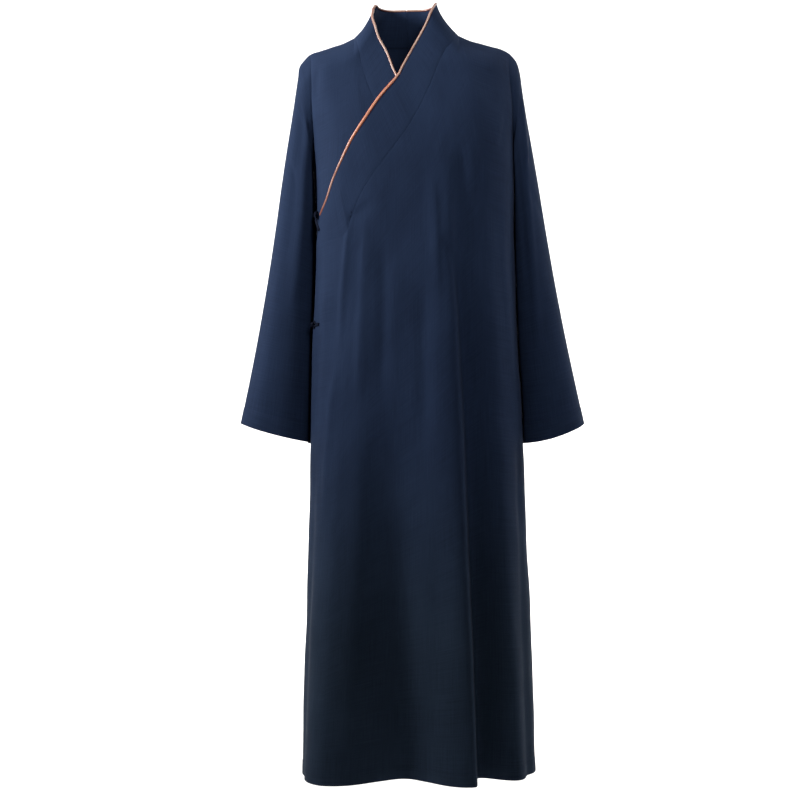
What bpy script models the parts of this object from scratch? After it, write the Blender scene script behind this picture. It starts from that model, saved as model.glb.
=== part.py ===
# A monk coat: a long cross-collar robe in navy cloth with an orange-piped collar, as it hangs when worn.
# Metres, +Z up. The front faces -Y and the wearer's left is at +X.
# The origin is on the shoulder line at the base of the neck, where the wearer holds the coat up.

import math

import bpy
import bmesh
from mathutils import Vector

# Driving dimensions
HEM_HEIGHT = -1.283
INNER_HEM_RISE = 0.012
CLOTH = 0.0015
COLLAR_CLOTH = 0.0018
SEAM_GAP = 0.0003
LAP_LIFT = 0.0052
LAP_FULL_ANGLE = 45.0
LAP_ANGLE_SPAN = 40.0
LAP_TOP = 0.012
LAP_HEIGHT_SPAN = 0.050
PIPING_RADIUS = 0.0023
UNDERARM_HEIGHT = -0.215
ARMHOLE_ANGLE = 72.0
ARMHOLE_SCOOP = 10.0
NECK_HALF_WIDTH = 0.093
NECK_SLOPE = 1.47
SHOULDER_CENTRE = -0.003
SHOULDER_TILT = 0.024
SHOULDER_ROUND = 0.050
SLEEVE_CLEARANCE = 0.0038
SEAM_CLEARANCE = 0.0016
CLEARED_STATION = 2.0
SLEEVE_EASE_STATIONS = 0.8
SLEEVE_START_SHARE = 0.2
SLEEVE_CENTRED_SHARE = 0.5
SLEEVE_TUCK = 0.010
COLLAR_HOLLOW = 0.006
KNOT_RADIUS = 0.0048
KNOT_FLATTENING = 0.8
LOOP_RADIUS = 0.0013

# Mesh divisions
ARMHOLE_ROWS = 10
SKIRT_ROWS = 12
COLLAR_COLUMNS = 3
COLLAR_HOLLOW_FADE_COLUMNS = 6
COLLAR_BACK_STEPS = 12
NECK_COLUMNS = {"front_outer": 28, "front_inner": 22, "back_left": 6, "back_right": 6}
SHOULDER_COLUMNS = 8
CUFF_ROWS = 12
CUFF_ROW_GROWTH = 1.15
SETTLING_STEPS = 12
SEAM_STEPS = 120
OUTLINE_STEP = 0.4
FACING_TURN = 0.3
FACING_DROP = 0.0004
SHOULDER_LINE_LOWEST = -0.1
TOUCHING = 1e-6

# Parts of each body panel, divided above the knee and at the underarm, and of each sleeve, divided above
# the elbow, so that hulls can follow the hollow: name, first row, last row
KNEE_ROW = 6
ELBOW_ROW = 6
PANEL_PARTS = (
    ("skirt", 0, KNEE_ROW),
    ("middle", KNEE_ROW, SKIRT_ROWS),
    ("top", SKIRT_ROWS, SKIRT_ROWS + ARMHOLE_ROWS),
)
SLEEVE_PARTS = (("top", 0, ELBOW_ROW), ("lower", ELBOW_ROW, CUFF_ROWS))

NAVY = (0.020, 0.030, 0.068, 1.0)
ORANGE = (0.74, 0.20, 0.07, 1.0)

# Level sections of the coat round the general figure, from the neck down
# height, centre x, centre y, half width, front depth, back depth, squareness
SECTIONS = (
    (0.100, 0.002, 0.000, 0.190, 0.036, 0.048, 2.4),
    (0.030, 0.002, 0.000, 0.190, 0.047, 0.056, 2.4),
    (0.000, 0.002, 0.000, 0.190, 0.058, 0.068, 2.4),
    (-0.050, 0.003, 0.000, 0.190, 0.078, 0.088, 2.5),
    (-0.100, 0.006, 0.000, 0.188, 0.097, 0.103, 2.6),
    (-0.160, 0.009, 0.000, 0.182, 0.113, 0.114, 2.6),
    (-0.215, 0.011, 0.000, 0.178, 0.121, 0.118, 2.6),
    (-0.350, 0.013, -0.003, 0.176, 0.125, 0.117, 2.5),
    (-0.500, 0.014, -0.004, 0.181, 0.126, 0.120, 2.4),
    (-0.705, 0.0175, -0.006, 0.1885, 0.126, 0.126, 2.3),
    (-0.910, 0.0200, -0.008, 0.1935, 0.127, 0.131, 2.3),
    (-1.120, 0.0215, -0.010, 0.2015, 0.128, 0.136, 2.2),
    (-1.283, 0.0225, -0.010, 0.2050, 0.128, 0.140, 2.2),
)

# Folds of the hanging cloth, as soft ridges and troughs that fade out upwards
# angle at the hem, angle at the top, top height, depth at the hem, spread below zero side, spread above, growth
FOLDS = (
    (-46.0, -48.0, -0.50, 0.047, 20.0, 14.0, 1.2),
    (-8.0, -12.0, -0.42, -0.045, 15.0, 14.0, 1.3),
    (24.0, 19.5, -0.22, 0.030, 17.0, 3.6, 0.9),
    (32.5, 24.5, -0.20, -0.036, 4.6, 11.0, 0.8),
    (50.0, 44.0, -0.40, 0.014, 8.0, 9.0, 1.0),
    (118.0, 122.0, -0.40, 0.022, 13.0, 9.0, 1.1),
    (142.0, 146.0, -0.34, -0.030, 11.0, 12.0, 1.0),
    (168.0, 163.0, -0.30, 0.026, 12.0, 12.0, 1.1),
    (195.0, 192.0, -0.36, -0.028, 13.0, 12.0, 1.1),
    (222.0, 214.0, -0.28, 0.028, 12.0, 8.0, 0.9),
    (241.0, 236.0, -0.44, -0.018, 9.0, 10.0, 1.1),
)

# Free edges of the two fronts: height, angle
OUTER_FREE_EDGE = ((-0.300, -75.0), (-0.700, -79.0), (-1.283, -83.0))
INNER_FREE_EDGE = ((-0.250, 31.0), (-0.500, 16.0), (-1.283, 6.0))
LEFT_CENTRE_BACK = ((0.0, 180.0),)
RIGHT_CENTRE_BACK = ((0.0, -180.0),)

# Shoulder line: distance from its centre, height
SHOULDER = ((0.093, 0.026), (0.113, 0.0165), (0.130, 0.0115), (0.150, 0.0055), (0.170, 0.0000), (0.190, -0.0105))

# Collar seam and collar edge of the outer and inner fronts, seen from the front: x, height.
# Each list starts where the line crosses the shoulder.
OUTER_SEAM = (
    (0.0905, 0.0275),
    (0.0760, 0.0060),
    (0.0596, -0.0170),
    (0.0343, -0.0817),
    (0.0047, -0.1421),
    (-0.0265, -0.1880),
    (-0.0557, -0.2271),
    (-0.0747, -0.2564),
    (-0.0886, -0.2835),
    (-0.0985, -0.3110),
    (-0.1130, -0.3400),
    (-0.2000, -0.3620),
)
OUTER_EDGE = (
    (0.0515, 0.0830),
    (0.0406, 0.0580),
    (0.0316, 0.0364),
    (0.0138, 0.0018),
    (-0.0074, -0.0400),
    (-0.0179, -0.0610),
    (-0.0492, -0.1000),
    (-0.0750, -0.1396),
    (-0.0975, -0.1749),
    (-0.1148, -0.2095),
    (-0.1306, -0.2436),
    (-0.1410, -0.2777),
    (-0.1500, -0.3010),
)
INNER_SEAM = (
    (-0.0960, 0.0245),
    (-0.0880, -0.0040),
    (-0.0790, -0.0450),
    (-0.0660, -0.0850),
    (-0.0420, -0.1380),
    (-0.0100, -0.1900),
    (0.0300, -0.2450),
    (0.1200, -0.3350),
)
INNER_EDGE = (
    (-0.0605, 0.0810),
    (-0.0659, 0.0580),
    (-0.0604, 0.0364),
    (-0.0532, 0.0132),
    (-0.0390, -0.0153),
    (-0.0231, -0.0571),
    (0.0120, -0.1200),
    (0.0450, -0.1680),
    (0.0850, -0.2220),
    (0.1120, -0.2660),
)
BACK_NECK_HEIGHT = 0.020
BACK_NECK_RISE = 0.006
BACK_EDGE_HEIGHT = 0.082
NECK_CENTRE_Y = 0.010

# Sleeve stations from the shoulder to the cuff: outer x, outer height, inner height, half depth,
# extra reach of the left sleeve
SLEEVE = (
    (0.1905, -0.0125, -0.2170, 0.046, 0.0030),
    (0.1965, -0.0380, -0.2210, 0.047, 0.0030),
    (0.2020, -0.0750, -0.2270, 0.048, 0.0030),
    (0.2080, -0.1150, -0.2370, 0.049, 0.0035),
    (0.2180, -0.1760, -0.2620, 0.052, 0.0050),
    (0.2300, -0.2560, -0.3150, 0.055, 0.0075),
    (0.2440, -0.3560, -0.4000, 0.057, 0.0105),
    (0.2625, -0.4700, -0.5000, 0.058, 0.0130),
    (0.2810, -0.5700, -0.5950, 0.059, 0.0155),
    (0.3010, -0.6670, -0.7030, 0.059, 0.0170),
)
# side, centre y at the cuff, extra half depth at the cuff, droop of the cuff's front and back
SLEEVE_SIDES = {"sleeve_left": (1, 0.020, 0.004, 0.008), "sleeve_right": (-1, 0.010, 0.000, 0.003)}


def clear_scene():
    for old in list(bpy.data.objects):
        bpy.data.objects.remove(old, do_unlink=True)


def soft_step(share):
    share = min(max(share, 0.0), 1.0)
    return share * share * (3.0 - 2.0 * share)


def read_table(rows, at):
    """The row of a table at a value of its first column, by a smooth curve through the rows."""
    ordered = sorted(rows)
    if at <= ordered[0][0]:
        return ordered[0][1:]
    if at >= ordered[-1][0]:
        return ordered[-1][1:]
    place = max(i for i in range(len(ordered) - 1) if ordered[i][0] <= at)
    low, high = ordered[place], ordered[place + 1]
    before = ordered[max(place - 1, 0)]
    after = ordered[min(place + 2, len(ordered) - 1)]
    span = high[0] - low[0]
    t = (at - low[0]) / span
    result = []
    for column in range(1, len(low)):
        slope_low = (high[column] - before[column]) / (high[0] - before[0]) * span
        slope_high = (after[column] - low[column]) / (after[0] - low[0]) * span
        value = (2 * t**3 - 3 * t**2 + 1) * low[column] + (t**3 - 2 * t**2 + t) * slope_low
        value += (3 * t**2 - 2 * t**3) * high[column] + (t**3 - t**2) * slope_high
        result.append(value)
    return tuple(result)


def along(points, share):
    """The point at a share of the length of a line of points."""
    lengths = [(points[i + 1] - points[i]).length for i in range(len(points) - 1)]
    target = share * sum(lengths)
    for i, length in enumerate(lengths):
        if target <= length or i == len(lengths) - 1:
            return points[i].lerp(points[i + 1], min(max(target / length, 0.0), 1.0))
        target -= length
    return points[-1].copy()


def smooth_line(rows, per_row=8):
    """A smooth line through table rows, as points."""
    keyed = [(float(i), *row) for i, row in enumerate(rows)]
    count = (len(rows) - 1) * per_row
    return [Vector(read_table(keyed, i / per_row)) for i in range(count + 1)]


def height_on_line(line, x):
    """The height of a line, made of (x, height) points, at an x."""
    for start, end in zip(line, line[1:]):
        low, high = min(start[0], end[0]), max(start[0], end[0])
        if low <= x <= high and high > low:
            return start[1] + (end[1] - start[1]) * (x - start[0]) / (end[0] - start[0])
    return line[0][1] if abs(x - line[0][0]) < abs(x - line[-1][0]) else line[-1][1]


def shoulder_height(x):
    """The top of the figure: the shoulder line, and the sides of the neck inside it."""
    distance = abs(x - SHOULDER_CENTRE)
    tilt = SHOULDER_TILT * x
    if distance < NECK_HALF_WIDTH:
        return SHOULDER[0][1] + NECK_SLOPE * (NECK_HALF_WIDTH - distance) + tilt
    return read_table(SHOULDER, distance)[0] + tilt


def outline(angle, height):
    """A point of the plain section at an angle from the front centre, before folds."""
    centre_x, centre_y, half_width, front, back, square = read_table(SECTIONS, height)
    sine = math.sin(math.radians(angle))
    cosine = math.cos(math.radians(angle))
    reach = max(1.0 - abs(sine) ** square, 0.0) ** (1.0 / square)
    depth = -front * reach if cosine >= 0 else back * reach
    return Vector((centre_x + half_width * sine, centre_y + depth, 0.0))


def fold_depth(angle, height):
    total = 0.0
    for hem_angle, top_angle, top, depth, spread_low, spread_high, growth in FOLDS:
        if height >= top:
            continue
        down = (top - height) / (top - HEM_HEIGHT)
        centre = top_angle + (hem_angle - top_angle) * down
        away = (angle - centre + 180.0) % 360.0 - 180.0
        spread = spread_low if away < 0 else spread_high
        total += depth * down**growth * math.exp(-((away / spread) ** 2))
    return total


def lap(angle, height):
    """How far the outer front stands off the layer below it: none at its own side seam and shoulder."""
    across = 1.0 - soft_step((angle - LAP_FULL_ANGLE) / LAP_ANGLE_SPAN)
    down = soft_step((LAP_TOP - height) / LAP_HEIGHT_SPAN)
    return LAP_LIFT * across * down


def no_lap(angle, height):
    """A panel that lies on the plain form."""
    return 0.0


# The knot buttons: height, angle, and what the front that each is sewn to stands off
KNOTS = {"upper": (-0.298, -76.5, no_lap), "waist": (-0.492, -74.9, lap)}


def skin(angle, height, lift=0.0):
    """A point of the coat's outer face."""
    ahead = outline(angle + OUTLINE_STEP, height)
    behind = outline(angle - OUTLINE_STEP, height)
    run = (ahead - behind).normalized()
    normal = Vector((run.y, -run.x, 0.0))
    base = outline(angle, height)
    point = base + normal * (fold_depth(angle, height) + lift)
    below = (shoulder_height(point.x) - height) / SHOULDER_ROUND
    rounding = math.sqrt(max(1.0 - (1.0 - min(max(below, 0.0), 1.0)) ** 2, 0.0))
    return Vector((point.x, point.y * rounding, height))


def skin_normal(angle, height, lift=0.0):
    """The outward direction of the coat's outer face. On the shoulder line it has no lean to the front or back."""
    point = skin(angle, height, lift)
    below = skin(angle, height - FACING_DROP, lift)
    run = skin(angle + FACING_TURN, height, lift) - skin(angle - FACING_TURN, height, lift)
    normal = run.cross(point - below).normalized()
    if height > SHOULDER_LINE_LOWEST and abs(point.y) < TOUCHING:
        normal = Vector((normal.x, 0.0, normal.z)).normalized()
    return normal


def angle_at(x, height, front=True):
    """The angle whose point has this x."""
    centre_x, _, half_width = read_table(SECTIONS, height)[:3]
    sine = min(max((x - centre_x) / half_width, -1.0), 1.0)
    angle = math.degrees(math.asin(sine))
    return angle if front else 180.0 - angle


def armhole_turn(height, top):
    """How far up the armhole a height is, from 0 to 1, and how deep the scoop is there, in degrees."""
    rise = min(max((height - UNDERARM_HEIGHT) / (top - UNDERARM_HEIGHT), 0.0), 1.0)
    return rise, ARMHOLE_SCOOP * 2.0 * math.sqrt(rise * (1.0 - rise))


def armhole_heights(top):
    """Heights of the armhole's rows from the underarm to the shoulder, closest at both ends."""
    heights = []
    for i in range(ARMHOLE_ROWS + 1):
        rise = (1.0 - math.cos(math.pi * i / ARMHOLE_ROWS)) / 2.0
        heights.append(UNDERARM_HEIGHT + (top - UNDERARM_HEIGHT) * rise)
    return heights


def even_shares(point_at, neck_share, count):
    """Shares of a panel's width whose points on the collar seam are evenly far apart."""
    steps = SEAM_STEPS
    line = [point_at(neck_share * i / steps) for i in range(steps + 1)]
    lengths = [0.0]
    for start, end in zip(line, line[1:]):
        lengths.append(lengths[-1] + (end - start).length)
    shares = []
    place = 0
    for i in range(count):
        target = lengths[-1] * i / count
        while lengths[place + 1] < target:
            place += 1
        part_way = (target - lengths[place]) / (lengths[place + 1] - lengths[place])
        shares.append(neck_share * (place + part_way) / steps)
    return shares


def panel(name, side, free_edge, top_line, hem=HEM_HEIGHT, lift_of=no_lap):
    """Rows, from the hem up, of a body panel: from its free edge or centre back to its side seam and armhole.

    Gives the points, their normals, and the number of columns that end on the collar seam."""
    back = name.startswith("back")
    neck_columns = NECK_COLUMNS[name]
    top = shoulder_height(outline(side * ARMHOLE_ANGLE, 0.0).x)
    neck_x = SHOULDER_CENTRE + side * NECK_HALF_WIDTH
    neck_angle = abs(angle_at(neck_x, SHOULDER[0][1]))

    # Angles here run from the free edge to the armhole, as if on the wearer's left
    def start_angle(height):
        return side * read_table(free_edge, height)[0]

    start = start_angle(top)
    neck = neck_angle if not back else 180.0 - neck_angle
    end_top = ARMHOLE_ANGLE if not back else 180.0 - ARMHOLE_ANGLE
    neck_share = (neck - start) / (end_top - start)

    def column_angle(share, height):
        rise, scoop = armhole_turn(height, top)
        in_from_side = (90.0 - ARMHOLE_ANGLE) * rise
        edge = 90.0 - in_from_side if not back else 90.0 + in_from_side
        near_armhole = max(share - neck_share, 0.0) / (1.0 - neck_share)
        free = start_angle(height)
        turned = -scoop if not back else scoop
        return free + (edge - free) * share + turned * near_armhole

    def column_top(share):
        height = 0.0
        for _ in range(SETTLING_STEPS):
            x = outline(side * column_angle(share, height), height).x
            height = top_line(x) if share < neck_share else shoulder_height(x)
        return skin(side * column_angle(share, height), height)

    shares = even_shares(column_top, neck_share, neck_columns)
    for i in range(SHOULDER_COLUMNS + 1):
        shares.append(neck_share + (1.0 - neck_share) * i / SHOULDER_COLUMNS)
    rises = armhole_heights(top)
    points, normals = [], []
    tops = [column_top(share).z for share in shares]
    for row in range(SKIRT_ROWS + ARMHOLE_ROWS + 1):
        line, facing = [], []
        for share, column in zip(shares, tops):
            if row >= SKIRT_ROWS:
                height = column - (top - rises[row - SKIRT_ROWS])
            else:
                bottom = column - (top - UNDERARM_HEIGHT)
                height = hem + (bottom - hem) * row / SKIRT_ROWS
            angle = side * column_angle(share, height)
            lift = lift_of(angle, height)
            line.append(skin(angle, height, lift))
            facing.append(skin_normal(angle, height, lift))
        points.append(line)
        normals.append(facing)
    return points, normals, neck_columns


def square_to(direction, run):
    """A direction with its part along a run taken off."""
    run = run.normalized()
    return (direction - run * direction.dot(run)).normalized()


def pull_back(points, ring=False, half=SEAM_GAP / 2.0):
    """The same rows with each edge drawn in by half a seam gap, square to the edge."""
    rows = [list(row) for row in points]
    count = len(points[0])
    for edge, inside in ((0, 1), (-1, -2)):
        for i, point in enumerate(points[edge]):
            ahead = (i + 1) % count if ring else min(i + 1, count - 1)
            behind = i - 1 if ring else max(i - 1, 0)
            run = points[edge][ahead] - points[edge][behind]
            rows[edge][i] = point + square_to(points[inside][i] - point, run) * half
    if ring:
        return rows
    for r, row in enumerate(rows):
        for edge, inside in ((0, 1), (-1, -2)):
            run = points[min(r + 1, len(points) - 1)][edge] - points[max(r - 1, 0)][edge]
            row[edge] = row[edge] + square_to(points[r][inside] - points[r][edge], run) * half
    return rows


def make_material(name, colour, roughness):
    material = bpy.data.materials.new(name)
    material.use_nodes = True
    shader = material.node_tree.nodes["Principled BSDF"]
    shader.inputs["Base Color"].default_value = colour
    shader.inputs["Roughness"].default_value = roughness
    shader.inputs["Metallic"].default_value = 0.0
    return material


def add_object(name, mesh, colour, roughness=0.85):
    mesh.materials.append(make_material(name, colour, roughness))
    made = bpy.data.objects.new(name, mesh)
    COAT.objects.link(made)
    return made


def cloth_wall(name, points, normals, thickness, ring=False, half_gap=SEAM_GAP / 2.0):
    """A closed wall of cloth: the given rows are its outer face, and its inner face lies a thickness inside."""
    rows = pull_back(points, ring, half_gap)
    shape = bmesh.new()
    outer = [[shape.verts.new(p) for p in row] for row in rows]
    inner = []
    for row, facing in zip(rows, normals):
        inner.append([shape.verts.new(p - n * thickness) for p, n in zip(row, facing)])
    last = len(rows) - 1
    count = len(rows[0])
    across = range(count) if ring else range(count - 1)
    for r in range(last):
        for c in across:
            d = (c + 1) % count
            shape.faces.new((outer[r][c], outer[r][d], outer[r + 1][d], outer[r + 1][c]))
            shape.faces.new((inner[r][c], inner[r + 1][c], inner[r + 1][d], inner[r][d]))
    for c in across:
        d = (c + 1) % count
        shape.faces.new((outer[0][c], inner[0][c], inner[0][d], outer[0][d]))
        shape.faces.new((outer[last][c], outer[last][d], inner[last][d], inner[last][c]))
    if not ring:
        for r in range(last):
            shape.faces.new((outer[r][0], outer[r + 1][0], inner[r + 1][0], inner[r][0]))
            shape.faces.new((outer[r][-1], inner[r][-1], inner[r + 1][-1], outer[r + 1][-1]))
    bmesh.ops.recalc_face_normals(shape, faces=shape.faces)
    mesh = bpy.data.meshes.new(name)
    shape.to_mesh(mesh)
    shape.free()
    mesh.shade_smooth()
    mesh.set_sharp_from_angle(angle=math.radians(50.0))
    return add_object(name, mesh, NAVY)


def grid_normals(points, turned, ring=False):
    """Directions square to a grid of points. Turned is 1 or -1, and picks the side that faces out."""
    rows = len(points)
    count = len(points[0])
    result = []
    for r in range(rows):
        line = []
        for c in range(count):
            up = points[min(r + 1, rows - 1)][c] - points[max(r - 1, 0)][c]
            if ring:
                side = points[r][(c + 1) % count] - points[r][c - 1]
            else:
                side = points[r][min(c + 1, count - 1)] - points[r][max(c - 1, 0)]
            line.append(side.cross(up).normalized() * turned)
        result.append(line)
    return result


def from_neck(point):
    """The level direction from the middle of the neck to a point."""
    return Vector((point.x - SHOULDER_CENTRE, point.y - NECK_CENTRE_Y, 0.0)).normalized()


def back_neck_line(x):
    """The collar seam at the back: lowest at the centre."""
    out = abs(x - SHOULDER_CENTRE) / NECK_HALF_WIDTH
    return BACK_NECK_HEIGHT + SHOULDER_TILT * x + BACK_NECK_RISE * out**3


def body_panels():
    outer_seam = smooth_line(OUTER_SEAM)
    inner_seam = smooth_line(INNER_SEAM)

    def outer_neck_line(x):
        return height_on_line(outer_seam, x)

    def inner_neck_line(x):
        return height_on_line(inner_seam, x)

    inner_hem = HEM_HEIGHT + INNER_HEM_RISE
    panels = {
        "front_outer": panel("front_outer", 1, OUTER_FREE_EDGE, outer_neck_line, lift_of=lap),
        "front_inner": panel("front_inner", -1, INNER_FREE_EDGE, inner_neck_line, hem=inner_hem),
        "back_left": panel("back_left", 1, LEFT_CENTRE_BACK, back_neck_line),
        "back_right": panel("back_right", -1, RIGHT_CENTRE_BACK, back_neck_line),
    }
    for name, (points, normals, _) in panels.items():
        for part, first, last in PANEL_PARTS:
            cloth_wall(f"{name}_{part}", points[first : last + 1], normals[first : last + 1], CLOTH)
    return panels


def armhole_loop(front, back):
    """The armhole's edge as a ring, with the coat's normals: from the shoulder down the front and up the back."""
    front_points, front_normals, _ = front
    back_points, back_normals, _ = back
    down = range(ARMHOLE_ROWS + SKIRT_ROWS, SKIRT_ROWS, -1)
    up = range(SKIRT_ROWS, ARMHOLE_ROWS + SKIRT_ROWS)
    ring = [front_points[row][-1] for row in down] + [back_points[row][-1] for row in up]
    facing = [front_normals[row][-1] for row in down] + [back_normals[row][-1] for row in up]
    return ring, facing


def body_side(height, y, side):
    """How far out the coat's side is at a height and a depth."""
    centre_x, centre_y, half_width, front, back, square = read_table(SECTIONS, height)
    depth = front if y < centre_y else back
    share = min(abs(y - centre_y) / depth, 1.0)
    sine = max(1.0 - share**square, 0.0) ** (1.0 / square)
    angle = math.degrees(math.asin(sine))
    if y > centre_y:
        angle = 180.0 - angle
    stand_off = fold_depth(side * angle, height) + lap(side * angle, height) * (y < centre_y)
    return side * centre_x + half_width * sine + stand_off


def sleeve_ring(name, at, count):
    """The points of a sleeve's station, before it is kept clear of the coat's side."""
    side, centre_y, fuller, droop = SLEEVE_SIDES[name]
    stations = [(float(i), *row) for i, row in enumerate(SLEEVE)]
    outer_x, outer_z, inner_z, half_depth, extra = read_table(stations, at)
    share = at / (len(SLEEVE) - 1)
    outer_x += extra * (side > 0)
    outer_z += SHOULDER_TILT * side * outer_x * (1.0 - share)
    middle_y = centre_y * soft_step((share - SLEEVE_START_SHARE) / SLEEVE_CENTRED_SHARE)
    inner_x = body_side(inner_z, middle_y, side) - SLEEVE_TUCK * soft_step(share / SLEEVE_START_SHARE)
    half = half_depth + fuller * share
    line = []
    for k in range(count):
        turn = 2.0 * math.pi * k / count
        mix = (1.0 + math.cos(turn)) / 2.0
        x = inner_x + (outer_x - inner_x) * mix
        z = inner_z + (outer_z - inner_z) * mix - droop * share**3 * math.sin(turn) ** 2
        line.append(Vector((side * x, middle_y - half * math.sin(turn), z)))
    return line


def sleeve(name, loop, loop_normals):
    """A sleeve as rings of points: the armhole's edge first, then its stations down to the cuff."""
    side = SLEEVE_SIDES[name][0]
    count = len(loop)
    first = sleeve_ring(name, 0.0, count)
    rows = [list(loop)]
    for i in range(1, CUFF_ROWS + 1):
        share = (i / CUFF_ROWS) ** CUFF_ROW_GROWTH
        at = share * (len(SLEEVE) - 1)
        from_edge = 1.0 - soft_step(at / SLEEVE_EASE_STATIONS)
        line = []
        for point, edge, start in zip(sleeve_ring(name, at, count), loop, first):
            point += (edge - start) * from_edge
            clearance = SEAM_CLEARANCE + (SLEEVE_CLEARANCE - SEAM_CLEARANCE) * soft_step(at / CLEARED_STATION)
            least = body_side(point.z, point.y, side) + clearance
            point.x = side * max(side * point.x, least)
            line.append(point)
        rows.append(line)
    normals = grid_normals(rows, side, ring=True)
    for k in range(count):
        run = loop[(k + 1) % count] - loop[k - 1]
        out_of_armhole = loop_normals[k].cross(run).normalized() * side
        lean = normals[0][k].dot(out_of_armhole)
        if lean > 0.0:
            normals[0][k] = (normals[0][k] - out_of_armhole * lean).normalized()
    for part, first, last in SLEEVE_PARTS:
        cloth_wall(f"{name}_{part}", rows[first : last + 1], normals[first : last + 1], CLOTH, ring=True)


def surface_point(x, height, back, lift):
    """The point of the coat's form that is seen at an x and a height from the front, or from behind."""
    angle = angle_at(x, height, not back)
    point = skin(angle, height, lift)
    for _ in range(SETTLING_STEPS):
        if abs(point.x - x) < TOUCHING:
            break
        angle = angle_at(outline(angle, height).x + x - point.x, height, not back)
        point = skin(angle, height, lift)
    return Vector((x, point.y, height))


def collar(name, front, back, edge_rows, turned, lift_of=no_lap):
    """A collar band from the centre back, over the shoulder, to its end on the front."""
    front_points, _, neck_columns = front
    back_points, _, back_columns = back
    seam = [back_points[-1][c] for c in range(back_columns)]
    seam += [front_points[-1][c] for c in range(neck_columns, -1, -1)]
    tip_x, tip_height = edge_rows[0]
    edge_back = []
    for i in range(COLLAR_BACK_STEPS + 1):
        share = i / COLLAR_BACK_STEPS
        x = SHOULDER_CENTRE + (tip_x - SHOULDER_CENTRE) * share
        height = BACK_EDGE_HEIGHT + (tip_height - BACK_EDGE_HEIGHT) * share
        edge_back.append(surface_point(x, height, True, 0.0))
    edge_front = []
    for x, height in smooth_line(edge_rows):
        edge_front.append(surface_point(x, height, False, lift_of(0.0, height)))
    seam_front = seam[back_columns:]
    lengths = [0.0]
    for start, end in zip(seam_front, seam_front[1:]):
        lengths.append(lengths[-1] + (end - start).length)
    edge = [along(edge_back, c / back_columns) for c in range(back_columns)]
    edge += [along(edge_front, length / lengths[-1]) for length in lengths]
    rows = []
    for i in range(COLLAR_COLUMNS + 1):
        share = i / COLLAR_COLUMNS
        line = []
        for c, (low, high) in enumerate(zip(seam, edge)):
            point = low.lerp(high, share)
            if 0.0 < share < 1.0 and c > back_columns:
                on_form = surface_point(point.x, point.z, False, lift_of(0.0, point.z))
                if on_form.y < point.y:
                    point = on_form
            fade_columns = COLLAR_HOLLOW_FADE_COLUMNS
            hollow = COLLAR_HOLLOW * 4.0 * share * (1.0 - share)
            hollow *= soft_step((back_columns + fade_columns - c) / fade_columns)
            point -= from_neck(point) * hollow
            line.append(point)
        rows.append(line)
    normals = grid_normals(rows, turned)
    for facing in normals:
        facing[0] = Vector((0.0, facing[0].y, facing[0].z)).normalized()
    cloth_wall(name, rows, normals, COLLAR_CLOTH, half_gap=SEAM_GAP)
    return rows, normals


def piping(name, rows, normals):
    """A rolled cord of cloth along the collar's free edge."""
    edge = rows[-1]
    below = rows[-2]
    line = []
    for i in range(len(edge)):
        run = edge[min(i + 1, len(edge) - 1)] - edge[max(i - 1, 0)]
        normal = normals[-1][i]
        across = square_to(edge[i] - below[i], run)
        reach = PIPING_RADIUS + SEAM_GAP
        line.append(edge[i] + across * reach - normal * (COLLAR_CLOTH / 2.0))
    line[0].x += math.copysign(SEAM_GAP / 2.0, line[1].x - line[0].x)
    curve = bpy.data.curves.new(name, "CURVE")
    curve.dimensions = "3D"
    curve.bevel_depth = PIPING_RADIUS
    curve.bevel_resolution = 1
    curve.use_fill_caps = True
    spline = curve.splines.new("POLY")
    spline.points.add(len(line) - 1)
    for target, point in zip(spline.points, line):
        target.co = (*point, 1.0)
    return add_object(name, curve, ORANGE, 0.45)


def closure(name, height, angle, lift):
    """A cloth knot button that lies on the front it is sewn to, and the loop round it."""
    base = skin(angle, height, lift)
    normal = skin_normal(angle, height, lift)
    turn = normal.to_track_quat("Z", "Y").to_euler()
    knot_place = base + normal * (KNOT_RADIUS * KNOT_FLATTENING + SEAM_GAP)
    bpy.ops.mesh.primitive_uv_sphere_add(segments=12, ring_count=8, radius=KNOT_RADIUS, location=knot_place)
    knot = bpy.context.object
    knot.scale.z = KNOT_FLATTENING
    knot.rotation_euler = turn
    knot.name = f"knot_{name}"
    loop_place = base + normal * (LOOP_RADIUS + 2.0 * SEAM_GAP)
    bpy.ops.mesh.primitive_torus_add(
        major_radius=KNOT_RADIUS + LOOP_RADIUS + SEAM_GAP,
        minor_radius=LOOP_RADIUS,
        major_segments=16,
        minor_segments=6,
        location=loop_place,
        rotation=turn,
    )
    loop = bpy.context.object
    loop.name = f"loop_{name}"
    for made in (knot, loop):
        made.data.name = made.name
        made.data.materials.append(make_material(made.name, NAVY, 0.8))
        made.data.shade_smooth()
        for old in made.users_collection:
            old.objects.unlink(made)
        COAT.objects.link(made)


def build():
    panels = body_panels()
    sleeve("sleeve_left", *armhole_loop(panels["front_outer"], panels["back_left"]))
    sleeve("sleeve_right", *armhole_loop(panels["front_inner"], panels["back_right"]))
    outer = collar("collar_outer", panels["front_outer"], panels["back_left"], OUTER_EDGE, -1, lift_of=lap)
    inner = collar("collar_inner", panels["front_inner"], panels["back_right"], INNER_EDGE, 1)
    piping("piping_outer", *outer)
    piping("piping_inner", *inner)
    for name, (height, angle, lift_of) in KNOTS.items():
        closure(name, height, angle, lift_of(angle, height))


clear_scene()
COAT = bpy.data.collections.new("monk_coat")
bpy.context.scene.collection.children.link(COAT)
build()
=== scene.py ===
# The looks of a monk coat: a long cross-collar robe in navy cloth with an orange-piped collar,
# as it hangs when worn. Metres, +Z up; the front faces -Y and the wearer's left is at +X.

import math

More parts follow.
